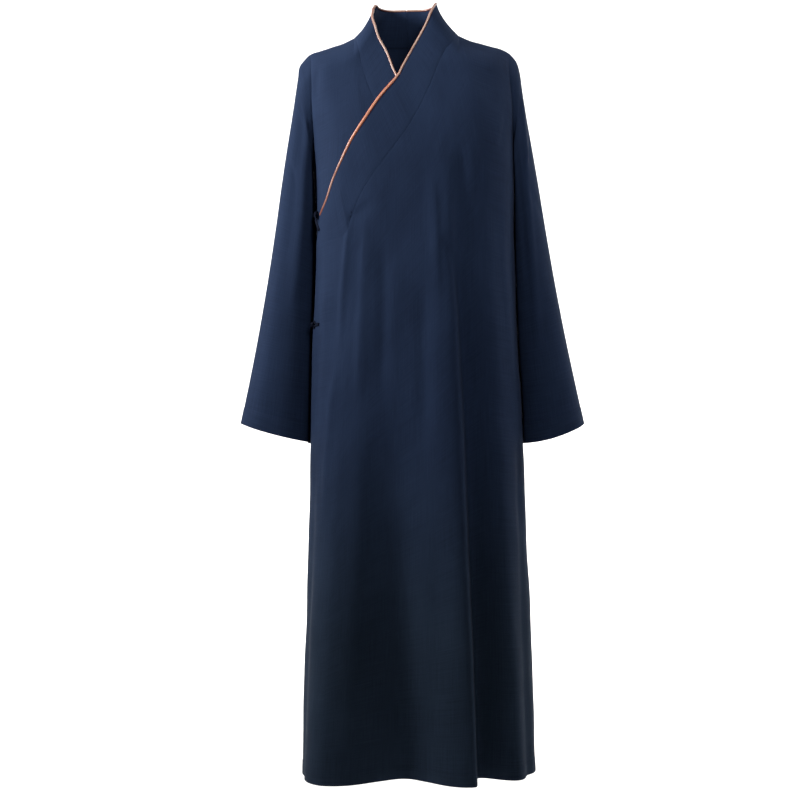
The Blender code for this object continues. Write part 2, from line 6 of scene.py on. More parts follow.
import bpy
import numpy as np
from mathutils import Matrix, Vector


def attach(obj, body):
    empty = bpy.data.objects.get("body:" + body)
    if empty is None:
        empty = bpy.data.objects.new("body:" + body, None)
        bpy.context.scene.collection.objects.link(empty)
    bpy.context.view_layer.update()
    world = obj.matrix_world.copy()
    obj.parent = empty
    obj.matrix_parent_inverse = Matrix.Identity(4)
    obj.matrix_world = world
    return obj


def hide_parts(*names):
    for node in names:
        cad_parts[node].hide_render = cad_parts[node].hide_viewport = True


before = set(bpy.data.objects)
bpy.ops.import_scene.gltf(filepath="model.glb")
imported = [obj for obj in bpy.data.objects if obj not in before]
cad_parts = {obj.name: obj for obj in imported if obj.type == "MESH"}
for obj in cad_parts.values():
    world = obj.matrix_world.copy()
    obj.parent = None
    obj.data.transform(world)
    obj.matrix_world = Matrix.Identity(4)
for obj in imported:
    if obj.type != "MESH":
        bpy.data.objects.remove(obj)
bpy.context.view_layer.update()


# The stage. A pale floor that sweeps up into a wall behind the coat, a camera level with the
# coat's middle, a soft light at the left, a weaker one at the front right and three behind.
FLOOR_HEIGHT = -1.46
SWEEP_PROFILE = ((-9.0, 0.0), (3.0, 0.0), (3.9, 0.12), (4.5, 0.55), (4.8, 1.3), (4.9, 7.0))
SWEEP_HALF_WIDTH = 9.0
CAMERA_PLACE = (-0.0144, -3.0, -0.625)
CAMERA_LENS_MM = 75.2
SENSOR_MM = 36.0
STAGE_WHITE = (0.93, 0.93, 0.93, 1.0)

# name, place, aimed at, size, watts, spread in degrees, colour
LIGHTS = (
    ("key", (-2.25, -0.75, 0.65), (0.0, 0.0, 0.15), 0.8, 22.5, 80.0, (1.0, 0.99, 0.97)),
    ("front_fill", (0.9, -2.0, 1.3), (0.25, 0.0, -0.1), 1.0, 2.6, 40.0, (1.0, 0.98, 0.95)),
    ("back_fill", (1.8, 2.4, 1.0), (0.0, 0.0, -0.6), 1.6, 3.0, 90.0, (1.0, 1.0, 1.0)),
    ("wall_left", (-3.4, 1.6, 2.4), (-0.6, 3.8, -0.8), 2.6, 170.0, 120.0, (1.0, 1.0, 1.0)),
    ("wall_right", (3.4, 1.6, 2.4), (0.6, 3.8, -0.8), 2.6, 170.0, 120.0, (1.0, 1.0, 1.0)),
)
WORLD_STRENGTH = 0.02


def aim(place, target):
    """The rotation that points a light or a camera from a place to a target."""
    return (Vector(target) - Vector(place)).to_track_quat("-Z", "Y").to_euler()


def plain_mesh(name, points, faces, smooth=True):
    """A mesh object from an array of points and an array of faces."""
    mesh = bpy.data.meshes.new(name)
    mesh.from_pydata([tuple(p) for p in points], [], [tuple(int(i) for i in f) for f in faces])
    if smooth:
        mesh.shade_smooth()
    made = bpy.data.objects.new(name, mesh)
    bpy.context.scene.collection.objects.link(made)
    return made


def build_stage():
    points = []
    for y, rise in SWEEP_PROFILE:
        for x in (-SWEEP_HALF_WIDTH, SWEEP_HALF_WIDTH):
            points.append((x, y, FLOOR_HEIGHT + rise))
    faces = [(2 * i, 2 * i + 1, 2 * i + 3, 2 * i + 2) for i in range(len(SWEEP_PROFILE) - 1)]
    sweep = plain_mesh("sweep", points, faces)
    paint = bpy.data.materials.new("stage_paint")
    paint.use_nodes = True
    shader = paint.node_tree.nodes["Principled BSDF"]
    shader.inputs["Base Color"].default_value = STAGE_WHITE
    shader.inputs["Roughness"].default_value = 0.9
    shader.inputs["Specular IOR Level"].default_value = 0.1
    sweep.data.materials.append(paint)
    camera = bpy.data.objects.new("camera", bpy.data.cameras.new("camera"))
    camera.location = CAMERA_PLACE
    camera.rotation_euler = (math.radians(90.0), 0.0, 0.0)
    camera.data.lens = CAMERA_LENS_MM
    camera.data.sensor_width = SENSOR_MM
    bpy.context.scene.collection.objects.link(camera)
    bpy.context.scene.camera = camera
    for name, place, target, size, watts, spread, colour in LIGHTS:
        lamp = bpy.data.lights.new(name, "AREA")
        lamp.shape = "DISK"
        lamp.size = size
        lamp.spread = math.radians(spread)
        lamp.energy = watts
        lamp.color = colour
        made = bpy.data.objects.new(name, lamp)
        made.location = place
        made.rotation_euler = aim(place, target)
        bpy.context.scene.collection.objects.link(made)
    world = bpy.data.worlds.new("soft_room")
    world.use_nodes = True
    ground = world.node_tree.nodes["Background"]
    ground.inputs["Color"].default_value = (1.0, 1.0, 1.0, 1.0)
    ground.inputs["Strength"].default_value = WORLD_STRENGTH
    bpy.context.scene.world = world
    bpy.context.scene.view_settings.view_transform = "Standard"


build_stage()


# The two back panels. Cut in left and right halves from a thin smooth plain weave of fine dyed
# yarn, sewn together at the centre back and to the fronts at the sides and shoulders; the hem is
# turned up and stitched. Cloth, form and sewing are shared with the pieces after them.
YARN = 0.00046
BAND_SCALE = 0.314
NAVY_DARK = (0.0092, 0.0166, 0.04, 1.0)
NAVY = (0.013, 0.0238, 0.056, 1.0)
NAVY_WORN = (0.018, 0.032, 0.072, 1.0)
SHADE_STOPS = (0.36, 0.5, 0.66)
# painted shade: from the knee down the cloth's colour is made less blue and a little darker, for the dimmer
# light on the lower coat
PAINTED_SHADE_TINT = (1.07, 1.0, 0.76, 1.0)
PAINTED_SHADE_FROM = -0.6
PAINTED_SHADE_TO = -1.12
# how often the shade of the yarns varies: times a metre across the grain and along it
LONG_YARNS = (900.0, 14.0)
CROSS_YARNS = (12.0, 900.0)
PATCHES_PER_METRE = 6.0
CRUMPLE_PER_METRE = 34.0
CRUMPLE_STRETCH = (1.0, 0.55)
CRUMPLE_DEPTH = 0.0022
WEAVE_DEPTH = 0.00012


class Nodes:
    """Short ways to add shader nodes to one material and to join them."""

    def __init__(self, name):
        self.material = bpy.data.materials.new(name)
        self.material.use_nodes = True
        self.tree = self.material.node_tree
        self.shader = self.tree.nodes["Principled BSDF"]

    def feed(self, node, feeds):
        """Gives inputs of a node a value each, or the output of another node."""
        for key, value in feeds.items():
            if isinstance(value, bpy.types.NodeSocket):
                self.tree.links.new(value, node.inputs[key])
            else:
                node.inputs[key].default_value = value

    def add(self, kind, feeds, **settings):
        node = self.tree.nodes.new(kind)
        for key, value in settings.items():
            setattr(node, key, value)
        self.feed(node, feeds)
        return node

    def maths(self, operation, first, second):
        return self.add("ShaderNodeMath", {0: first, 1: second}, operation=operation).outputs[0]

    def mixed(self, first, share, second, other_share):
        """The sum of two values, each times its share."""
        first = self.maths("MULTIPLY", first, share)
        return self.maths("ADD", first, self.maths("MULTIPLY", second, other_share))

    def ramp(self, factor, stops):
        node = self.add("ShaderNodeValToRGB", {"Fac": factor})
        ramp = node.color_ramp
        while len(ramp.elements) < len(stops):
            ramp.elements.new(0.5)
        for element, (place, colour) in zip(ramp.elements, stops):
            element.position = place
            element.color = colour
        return node.outputs["Color"]

    def grain_point(self, across=1.0, along=1.0):
        """The cloth's own coordinates, metres across and along the grain, scaled."""
        place = self.add("ShaderNodeUVMap", {}, uv_map="grain")
        feeds = {"Vector": place.outputs["UV"], "Scale": (across, along, 1.0)}
        return self.add("ShaderNodeMapping", feeds).outputs["Vector"]

    def measured(self, name):
        """A value that the mesh carries at its points."""
        return self.add("ShaderNodeAttribute", {}, attribute_name=name).outputs["Fac"]

    def with_painted_shade(self, colour):
        """The colour, less blue from the knee down to the hem: painted shade for the dimmer light there."""
        place = self.add("ShaderNodeTexCoord", {})
        parts = self.add("ShaderNodeSeparateXYZ", {"Vector": place.outputs["Object"]})
        feeds = {"From Min": PAINTED_SHADE_FROM, "From Max": PAINTED_SHADE_TO, "Value": parts.outputs["Z"]}
        share = self.add("ShaderNodeMapRange", feeds, interpolation_type="SMOOTHSTEP")
        tint = self.ramp(share.outputs["Result"], ((0.0, (1.0, 1.0, 1.0, 1.0)), (1.0, PAINTED_SHADE_TINT)))
        return self.add("ShaderNodeVectorMath", {0: colour, 1: tint}, operation="MULTIPLY").outputs["Vector"]

    def noise(self, vector, scale, detail=2.0, rough=0.5):
        feeds = {"Vector": vector, "Scale": scale, "Detail": detail, "Roughness": rough}
        return self.add("ShaderNodeTexNoise", feeds).outputs["Fac"]

    def waves(self, vector, size, direction):
        """Even bands of a size in metres."""
        feeds = {"Vector": vector, "Scale": BAND_SCALE / size}
        return self.add("ShaderNodeTexWave", feeds, bands_direction=direction).outputs["Fac"]

    def bump(self, height, strength, distance, before=None):
        feeds = {"Height": height, "Strength": strength, "Distance": distance}
        if before is not None:
            feeds["Normal"] = before
        return self.add("ShaderNodeBump", feeds).outputs["Normal"]


def navy_cloth(name, dark=NAVY_DARK, middle=NAVY, worn=NAVY_WORN):
    """Fine plain-woven cloth: yarns over and under, uneven yarn shade, soft crumple and bloom, and a painted
    shade that makes it less blue from the knee down.
    """
    cloth = Nodes(name)
    grain = cloth.grain_point()
    warp = cloth.waves(grain, YARN, "X")
    weft = cloth.waves(grain, YARN, "Y")
    over = cloth.maths("MAXIMUM", warp, weft)
    under = cloth.maths("MULTIPLY", warp, weft)
    weave = cloth.maths("SUBTRACT", over, cloth.maths("MULTIPLY", under, 0.6))
    long_yarns = cloth.noise(cloth.grain_point(*LONG_YARNS), 1.0, 3.0, 0.6)
    cross_yarns = cloth.noise(cloth.grain_point(*CROSS_YARNS), 1.0, 3.0, 0.6)
    yarns = cloth.mixed(long_yarns, 0.5, cross_yarns, 0.5)
    patches = cloth.noise(grain, PATCHES_PER_METRE, 4.0, 0.55)
    shade = cloth.mixed(yarns, 0.7, patches, 0.3)
    colour = cloth.ramp(shade, tuple(zip(SHADE_STOPS, (dark, middle, worn))))
    crumple = cloth.noise(cloth.grain_point(*CRUMPLE_STRETCH), CRUMPLE_PER_METRE, 3.0, 0.5)
    soft = cloth.bump(crumple, 0.22, CRUMPLE_DEPTH)
    cloth.feed(cloth.shader, {
        # the colour with painted shade from the knee down
        "Base Color": cloth.with_painted_shade(colour),
        "Roughness": cloth.maths("ADD", cloth.maths("MULTIPLY", yarns, 0.14), 0.8),
        "Normal": cloth.bump(weave, 0.3, WEAVE_DEPTH, soft),
        "Specular IOR Level": 0.07,
        "Sheen Weight": 0.02,
        "Sheen Roughness": 0.45,
        "Sheen Tint": (0.62, 0.72, 1.0, 1.0),
    })
    return cloth.material


CLOTH_LOOK = navy_cloth("navy_cloth")

# The form of the worn coat: level sections round a general figure, the long folds that fall
# from the shoulders to the hem, and the smaller creases that lie between them
HEM_HEIGHT = -1.283
INNER_HEM_RISE = 0.012
LAP_LIFT = 0.0052
LAP_FULL_ANGLE = 45.0
LAP_ANGLE_SPAN = 40.0
LAP_TOP = 0.012
LAP_HEIGHT_SPAN = 0.05
UNDERARM_HEIGHT = -0.215
ARMHOLE_ANGLE = 72.0
ARMHOLE_SCOOP = 10.0
NECK_HALF_WIDTH = 0.093
NECK_SLOPE = 1.47
SHOULDER_CENTRE = -0.003
SHOULDER_TILT = 0.024
SHOULDER_ROUND = 0.05
# distance from the shoulder line's centre, height
SHOULDER = (
    (0.093, 0.026),
    (0.113, 0.0165),
    (0.13, 0.0115),
    (0.15, 0.0055),
    (0.17, 0.0),
    (0.19, -0.0105),
)

# height, centre x, centre y, half width, front depth, back depth, squareness
SECTIONS = (
    (0.1, 0.002, 0.0, 0.19, 0.036, 0.048, 2.4),
    (0.03, 0.002, 0.0, 0.19, 0.047, 0.056, 2.4),
    (0.0, 0.002, 0.0, 0.19, 0.058, 0.068, 2.4),
    (-0.05, 0.003, 0.0, 0.19, 0.078, 0.088, 2.5),
    (-0.1, 0.006, 0.0, 0.188, 0.097, 0.103, 2.6),
    (-0.16, 0.009, 0.0, 0.182, 0.113, 0.114, 2.6),
    (-0.215, 0.011, 0.0, 0.178, 0.121, 0.118, 2.6),
    (-0.35, 0.013, -0.003, 0.176, 0.125, 0.117, 2.5),
    (-0.5, 0.014, -0.004, 0.181, 0.126, 0.12, 2.4),
    (-0.705, 0.0175, -0.006, 0.1885, 0.126, 0.126, 2.3),
    (-0.91, 0.02, -0.008, 0.1935, 0.127, 0.131, 2.3),
    (-1.12, 0.0215, -0.01, 0.2015, 0.128, 0.136, 2.2),
    (-1.283, 0.0225, -0.01, 0.205, 0.128, 0.14, 2.2),
)

# angle at the hem, angle at the top, top height, depth at the hem, spread in degrees towards
# lower and higher angles, growth
FOLDS = (
    (-46.0, -48.0, -0.5, 0.047, 20.0, 14.0, 1.2),
    (-8.0, -12.0, -0.42, -0.045, 15.0, 14.0, 1.3),
    (24.0, 19.5, -0.22, 0.03, 17.0, 3.6, 0.9),
    (32.5, 24.5, -0.2, -0.036, 4.6, 11.0, 0.8),
    (50.0, 44.0, -0.4, 0.014, 8.0, 9.0, 1.0),
    (118.0, 122.0, -0.4, 0.022, 13.0, 9.0, 1.1),
    (142.0, 146.0, -0.34, -0.03, 11.0, 12.0, 1.0),
    (168.0, 163.0, -0.3, 0.026, 12.0, 12.0, 1.1),
    (195.0, 192.0, -0.36, -0.028, 13.0, 12.0, 1.1),
    (222.0, 214.0, -0.28, 0.028, 12.0, 8.0, 0.9),
    (241.0, 236.0, -0.44, -0.018, 9.0, 10.0, 1.1),
)

# Small creases of the body: angle and height at the start, the middle and the end, depth, width
# on the side of lower angle, width on the side of higher angle. Widths are metres of cloth.
CREASES = (
    (-56.0, -0.33, -33.0, -0.3, -22.0, -0.27, -0.0016, 0.008, 0.014),
    (-57.0, -0.026, -61.0, -0.065, -66.0, -0.125, -0.0024, 0.005, 0.008),
    (-38.0, -0.29, -44.0, -0.41, -46.5, -0.57, 0.003, 0.005, 0.009),
    (-47.0, -0.54, -52.0, -0.68, -54.0, -0.88, 0.0024, 0.007, 0.009),
    (-28.0, -0.3, -31.0, -0.45, -33.0, -0.7, 0.0032, 0.009, 0.014),
    (-19.0, -0.34, -18.0, -0.46, -20.0, -0.66, -0.0038, 0.013, 0.012),
    (3.0, -0.4, 4.0, -0.56, 2.0, -0.76, -0.0034, 0.013, 0.013),
    (9.0, -0.23, 11.0, -0.33, 12.0, -0.52, 0.0022, 0.012, 0.007),
    (14.0, -0.33, 23.0, -0.43, 26.0, -0.6, -0.0042, 0.006, 0.012),
    (26.0, -0.16, 28.0, -0.26, 29.0, -0.34, -0.002, 0.009, 0.013),
    (41.0, -0.15, 38.0, -0.23, 33.0, -0.33, -0.0018, 0.01, 0.014),
    (60.0, -0.1, 58.0, -0.15, 52.0, -0.2, -0.0016, 0.006, 0.01),
    (58.0, -0.26, 60.0, -0.42, 63.0, -0.62, 0.0022, 0.012, 0.012),
    (-62.0, -0.36, -60.0, -0.54, -58.0, -0.76, 0.002, 0.013, 0.013),
    (10.0, -0.82, 8.0, -1.02, 6.0, -1.29, -0.003, 0.014, 0.018),
    (-32.0, -0.62, -33.0, -0.95, -33.0, -1.29, 0.006, 0.022, 0.018),
    (-66.0, -0.7, -67.0, -0.96, -66.0, -1.29, -0.003, 0.016, 0.013),
    (68.0, -0.64, 66.0, -0.92, 65.0, -1.29, -0.0034, 0.014, 0.016),
    (112.0, -0.18, 124.0, -0.23, 140.0, -0.26, -0.0018, 0.009, 0.014),
    (130.0, -0.3, 133.0, -0.45, 132.0, -0.64, 0.0024, 0.012, 0.015),
    (155.0, -0.24, 154.0, -0.42, 156.0, -0.6, -0.0024, 0.014, 0.014),
    (178.0, -0.42, 180.0, -0.6, 182.0, -0.86, -0.0026, 0.015, 0.016),
    (206.0, -0.23, 205.0, -0.4, 207.0, -0.56, 0.0022, 0.013, 0.013),
    (248.0, -0.18, 236.0, -0.235, 220.0, -0.265, -0.0018, 0.014, 0.009),
    (228.0, -0.34, 230.0, -0.52, 231.0, -0.7, -0.0022, 0.012, 0.014),
    (154.0, -0.76, 155.0, -1.0, 154.0, -1.29, 0.0028, 0.015, 0.015),
    (208.0, -0.7, 209.0, -0.96, 209.0, -1.29, -0.003, 0.014, 0.017),
    (100.0, -0.56, 103.0, -0.82, 102.0, -1.29, -0.003, 0.016, 0.014),
    (258.0, -0.6, 257.0, -0.88, 259.0, -1.29, 0.0026, 0.014, 0.016),
)
CREASE_STEPS = 9
CREASE_FADE_SHARE = 0.35
CLOTH_PER_DEGREE = 0.003
SLOPE_STEP = 0.4
SETTLE_TURNS = 12

# A faint unevenness of hanging cloth: waves per metre of height, per turn, phase, size in metres
UNEVENNESS = (
    (3.1, 5.0, 0.7, 0.0005),
    (5.3, -8.0, 2.1, 0.00038),
    (8.9, 13.0, 4.4, 0.00024),
    (1.7, 17.0, 5.2, 0.0003),
)


def soft_step(share):
    share = np.clip(share, 0.0, 1.0)
    return share * share * (3.0 - 2.0 * share)


def unit(vectors):
    """Vectors brought to a length of one."""
    return vectors / np.maximum(np.linalg.norm(vectors, axis=-1, keepdims=True), 1e-12)


def table_at(rows, at):
    """The rows of a table at values of its first column, by a smooth curve through the rows."""
    rows = np.array(sorted(rows), float)
    keys, values = rows[:, 0], rows[:, 1:]
    at = np.asarray(at, float)
    if len(keys) == 1:
        return np.broadcast_to(values[0], at.shape + values[0].shape)
    at = np.clip(at, keys[0], keys[-1])
    low = np.clip(np.searchsorted(keys, at, side="right") - 1, 0, len(keys) - 2)
    high = low + 1
    before = np.maximum(low - 1, 0)
    after = np.minimum(low + 2, len(keys) - 1)
    span = (keys[high] - keys[low])[..., None]
    t = (at - keys[low])[..., None] / span
    slope_low = (values[high] - values[before]) / (keys[high] - keys[before])[..., None] * span
    slope_high = (values[after] - values[low]) / (keys[after] - keys[low])[..., None] * span
    result = (2 * t**3 - 3 * t**2 + 1) * values[low] + (t**3 - 2 * t**2 + t) * slope_low
    return result + (3 * t**2 - 2 * t**3) * values[high] + (t**3 - t**2) * slope_high


def shoulder_height(x):
    """The top of the figure: the shoulder line, and the sides of the neck inside it."""
    distance = np.abs(np.asarray(x, float) - SHOULDER_CENTRE)
    inside = SHOULDER[0][1] + NECK_SLOPE * (NECK_HALF_WIDTH - distance)
    outside = table_at(SHOULDER, distance)[..., 0]
    return np.where(distance < NECK_HALF_WIDTH, inside, outside) + SHOULDER_TILT * np.asarray(x)


def outline(angle, height):
    """Points of the plain section at angles from the front centre, before folds: x and y."""
    row = table_at(SECTIONS, height)
    centre_x, centre_y, half_width, front, back, square = np.moveaxis(row, -1, 0)
    sine = np.sin(np.radians(angle))
    cosine = np.cos(np.radians(angle))
    reach = np.maximum(1.0 - np.abs(sine) ** square, 0.0) ** (1.0 / square)
    depth = np.where(cosine >= 0, -front, back) * reach
    return np.stack([centre_x + half_width * sine, centre_y + depth], axis=-1)


def fold_depth(angle, height):
    total = np.zeros(np.broadcast(angle, height).shape)
    for hem_angle, top_angle, top, depth, spread_low, spread_high, growth in FOLDS:
        down = np.clip((top - height) / (top - HEM_HEIGHT), 0.0, None)
        centre = top_angle + (hem_angle - top_angle) * down
        away = (angle - centre + 180.0) % 360.0 - 180.0
        spread = np.where(away < 0, spread_low, spread_high)
        total = total + depth * down**growth * np.exp(-((away / spread) ** 2))
    return total


def bent(first, middle, last, steps):
    """Values along a curve that passes a first, a middle and a last one."""
    pull = 2 * middle - (first + last) / 2
    return (1 - steps) ** 2 * first + 2 * steps * (1 - steps) * pull + steps**2 * last


def crease_depth(angle, height):
    """The listed creases: each a soft trough or ridge along a bent line, fading out at its ends."""
    angle = np.asarray(angle, float) % 360.0
    height = np.asarray(height, float)
    total = np.zeros(np.broadcast(angle, height).shape)
    steps = np.linspace(0.0, 1.0, CREASE_STEPS)
    for a0, h0, a1, h1, a2, h2, depth, width_low, width_high in CREASES:
        line_a = bent(a0, a1, a2, steps)
        line_h = bent(h0, h1, h2, steps)
        nearest = np.full(total.shape, np.inf)
        side = np.zeros(total.shape)
        share = np.zeros(total.shape)
        for i in range(CREASE_STEPS - 1):
            run = np.array([(line_a[i + 1] - line_a[i]) * CLOTH_PER_DEGREE, line_h[i + 1] - line_h[i]])
            off_a = ((angle - line_a[i] + 180.0) % 360.0 - 180.0) * CLOTH_PER_DEGREE
            off_h = height - line_h[i]
            t = np.clip((off_a * run[0] + off_h * run[1]) / (run @ run), 0.0, 1.0)
            gap_a = off_a - t * run[0]
            gap_h = off_h - t * run[1]
            gap = np.hypot(gap_a, gap_h)
            closer = gap < nearest
            nearest = np.where(closer, gap, nearest)
            side = np.where(closer, gap_a, side)
            share = np.where(closer, (i + t) / (CREASE_STEPS - 1), share)
        width = np.where(side < 0, width_low, width_high)
        fade = soft_step(share / CREASE_FADE_SHARE)
        if h2 > HEM_HEIGHT:
            fade = fade * soft_step((1.0 - share) / CREASE_FADE_SHARE)
        total = total + depth * fade * np.exp(-((nearest / width) ** 2))
    return total


def relief(angle, height):
    """How far folds, creases and unevenness together stand out from the plain section."""
    total = fold_depth(angle, height) + crease_depth(angle, height)
    for per_metre, per_turn, phase, size in UNEVENNESS:
        total = total + size * np.sin(math.tau * per_metre * height + np.radians(angle) * per_turn + phase)
    return total


def lap(angle, height):
    """How far the outer front stands off the layer below: none at its side seam and shoulder."""
    across = 1.0 - soft_step((np.asarray(angle) - LAP_FULL_ANGLE) / LAP_ANGLE_SPAN)
    down = soft_step((LAP_TOP - np.asarray(height)) / LAP_HEIGHT_SPAN)
    return LAP_LIFT * across * down


def no_lap(angle, height):
    """A panel that lies on the plain form."""
    return np.zeros(np.broadcast(angle, height).shape)


def skin(angle, height, lift=0.0):
    """Points of the coat's outer face at angles and heights, a lift off the form."""
    angle = np.asarray(angle, float)
    height = np.asarray(height, float)
    angle, height = np.broadcast_arrays(angle, height)
    run = unit(outline(angle + SLOPE_STEP, height) - outline(angle - SLOPE_STEP, height))
    base = outline(angle, height)
    raised = relief(angle, height) + lift
    x = base[..., 0] + run[..., 1] * raised
    y = base[..., 1] - run[..., 0] * raised
    below = np.clip((shoulder_height(x) - height) / SHOULDER_ROUND, 0.0, 1.0)
    rounding = np.sqrt(np.maximum(1.0 - (1.0 - below) ** 2, 0.0))
    return np.stack([x, y * rounding, height], axis=-1)


def angle_at(x, height, front=True):
    """The angle whose point of the plain section has this x."""
    row = table_at(SECTIONS, height)
    sine = np.clip((x - row[..., 0]) / row[..., 2], -1.0, 1.0)
    angle = np.degrees(np.arcsin(sine))
    return angle if front else 180.0 - angle


# The cut and the sewing
SKIRT_ROWS = 168
ARMHOLE_ROWS = 44
SEAM_STEPS = 160
CLOTH = 0.0011
SEAM_DIP = 0.0005
NECK_SEAM_SHARE = 0.45
SEAM_FADE_LOW = -0.33
SEAM_FADE_HIGH = -0.285
SEAM_REACH = 0.0035
HEM_TURN = 0.024
HEM_SWELL = 0.0005
HEM_SWELL_SPAN = 0.0012
HEM_GROOVE = 0.0007
HEM_GROOVE_WIDTH = 0.0011
HEM_GROOVE_RISE = 0.0012
HEM_STEPS = (0.0, 0.0006, 0.0016, 0.004, 0.009, 0.015, 0.0205, 0.0228, 0.024, 0.0252, 0.0274)
EDGE_STEPS = (0.0, 0.0006, 0.0016, 0.0032, 0.006)
HEM_STITCH_ROW = HEM_STEPS.index(0.024)
# distance from stitch to stitch, length of a stitch, half thickness of its thread
HEM_SEWING = (0.0038, 0.0026, 0.00032)
THREAD_DARK = (0.005, 0.009, 0.024, 1.0)
THREAD_NAVY = (0.008, 0.015, 0.038, 1.0)
THREAD_WORN = (0.013, 0.023, 0.056, 1.0)
THREAD_LOOK = navy_cloth("navy_thread", THREAD_DARK, THREAD_NAVY, THREAD_WORN)
BODY_AXIS_X = 0.01
BACK_NECK_HEIGHT = 0.02
BACK_NECK_RISE = 0.006


def length_along(points):
    """Distances along a line of points."""
    gaps = np.linalg.norm(np.diff(points, axis=0), axis=-1)
    return np.concatenate([[0.0], np.cumsum(gaps)])


def points_at(line, lengths, places):
    """The points of a line at places along it."""
    return np.stack([np.interp(places, lengths, line[:, i]) for i in range(3)], axis=-1)


def grid_normals(points, ring=False):
    """Directions square to a grid of points, to the left of its rows as they run."""
    up = np.gradient(points, axis=0)
    if ring:
        across = np.roll(points, -1, axis=1) - np.roll(points, 1, axis=1)
    else:
        across = np.gradient(points, axis=1)
    return unit(np.cross(across, up))


def grid_cells(rows, across, along):
    """The quads of a grid and the places of their corners across and along it, in metres."""
    index = np.concatenate([rows, rows[:, :1]], axis=1) if len(across) > rows.shape[1] else rows
    table = np.stack([index, *np.meshgrid(across, along)], axis=-1)
    cells = np.stack([table[:-1, :-1], table[:-1, 1:], table[1:, 1:], table[1:, :-1]], axis=2)
    cells = cells.reshape(-1, 4, 3)
    return cells[..., 0].astype(int), cells[..., 1:]


def lay_grain(made, grain):
    """Gives a mesh its map of the cloth's grain."""
    layer = made.data.uv_layers.new(name="grain")
    layer.data.foreach_set("uv", grain.astype(np.float32).ravel())


def sew_cloth(name, points, facing, thickness, material, ring=False):
    """A thin shell of cloth from a grid of points on its outer face, with its grain as a map."""
    rows, columns = points.shape[:2]
    index = np.arange(rows * columns).reshape(rows, columns)
    closed = np.concatenate([points, points[:, :1]], axis=1) if ring else points
    row_gaps = np.linalg.norm(np.diff(points, axis=0), axis=-1).mean(axis=1)
    column_gaps = np.linalg.norm(np.diff(closed, axis=1), axis=-1).mean(axis=0)
    along = np.concatenate([[0.0], np.cumsum(row_gaps)])
    across = np.concatenate([[0.0], np.cumsum(column_gaps)])
    quads, grain = grid_cells(index, across, along)
    if (grid_normals(points, ring) * facing).sum(axis=-1).mean() < 0:
        quads = quads[:, ::-1]
        grain = grain[:, ::-1]
    made = plain_mesh(name, points.reshape(-1, 3), quads)
    lay_grain(made, grain)
    made.data.materials.append(material)
    wall = made.modifiers.new("thickness", "SOLIDIFY")
    wall.thickness = thickness
    wall.offset = -1.0
    wall.use_even_offset = False
    return made


def stand_for(piece, slot, *nodes):
    """Says which solids a piece replaces and that it moves with the coat's one body; the slot it is given is
    not used.
    """
    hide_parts(*nodes)
    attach(piece, "root")


def sew_row(name, line, outward, material, pitch, stitch, thread):
    """A row of stitches along a line: each a small bead of thread that dips in at both ends."""
    lengths = length_along(line)
    starts = np.arange(pitch, lengths[-1] - pitch, pitch)
    first = points_at(line, lengths, starts)
    last = points_at(line, lengths, starts + stitch)
    out = points_at(outward, lengths, starts + stitch / 2.0)
    side = unit(np.cross(last - first, out))
    middle = (first + last) / 2.0
    corners = [middle + way * thread for way in (side, out, -side, -out)]
    points = np.stack([first, last] + corners, axis=1).reshape(-1, 3)
    wedges = [(0, 2 + i, 2 + (i + 1) % 4) for i in range(4)]
    wedges += [(1, 2 + (i + 1) % 4, 2 + i) for i in range(4)]
    faces = (np.arange(len(starts))[:, None, None] * 6 + np.array(wedges)[None]).reshape(-1, 3)
    made = plain_mesh(name, points, faces)
    across = np.tile([0.0, stitch, 0.0, 0.0, 0.0, 0.0], len(starts))
    lay_grain(made, np.stack([across, np.repeat(starts, 6)], axis=-1)[faces.ravel()])
    made.data.materials.append(material)
    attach(made, "root")


def armhole_turn(height, top):
    """How far up the armhole a height is, from 0 to 1, and the depth of its scoop in degrees."""
    rise = np.clip((height - UNDERARM_HEIGHT) / (top - UNDERARM_HEIGHT), 0.0, 1.0)
    return rise, ARMHOLE_SCOOP * 2.0 * np.sqrt(rise * (1.0 - rise))


def edge_spaced(length, step):
    """Shares of a length: close together at both ends, where the seams turn in, else even."""
    ends = np.array(EDGE_STEPS)
    middle = np.linspace(ends[-1], length - ends[-1], max(int(length / step), 4))
    return np.concatenate([ends[:-1], middle, length - ends[:-1][::-1]]) / length


def hem_relief(from_edge):
    """How far a turned hem stands out near its edge, less the groove of its stitching."""
    swell = HEM_SWELL * soft_step((HEM_TURN - from_edge) / HEM_SWELL_SPAN)
    groove = np.exp(-(((from_edge - HEM_TURN + HEM_GROOVE_RISE) / HEM_GROOVE_WIDTH) ** 2))
    return swell - HEM_GROOVE * groove


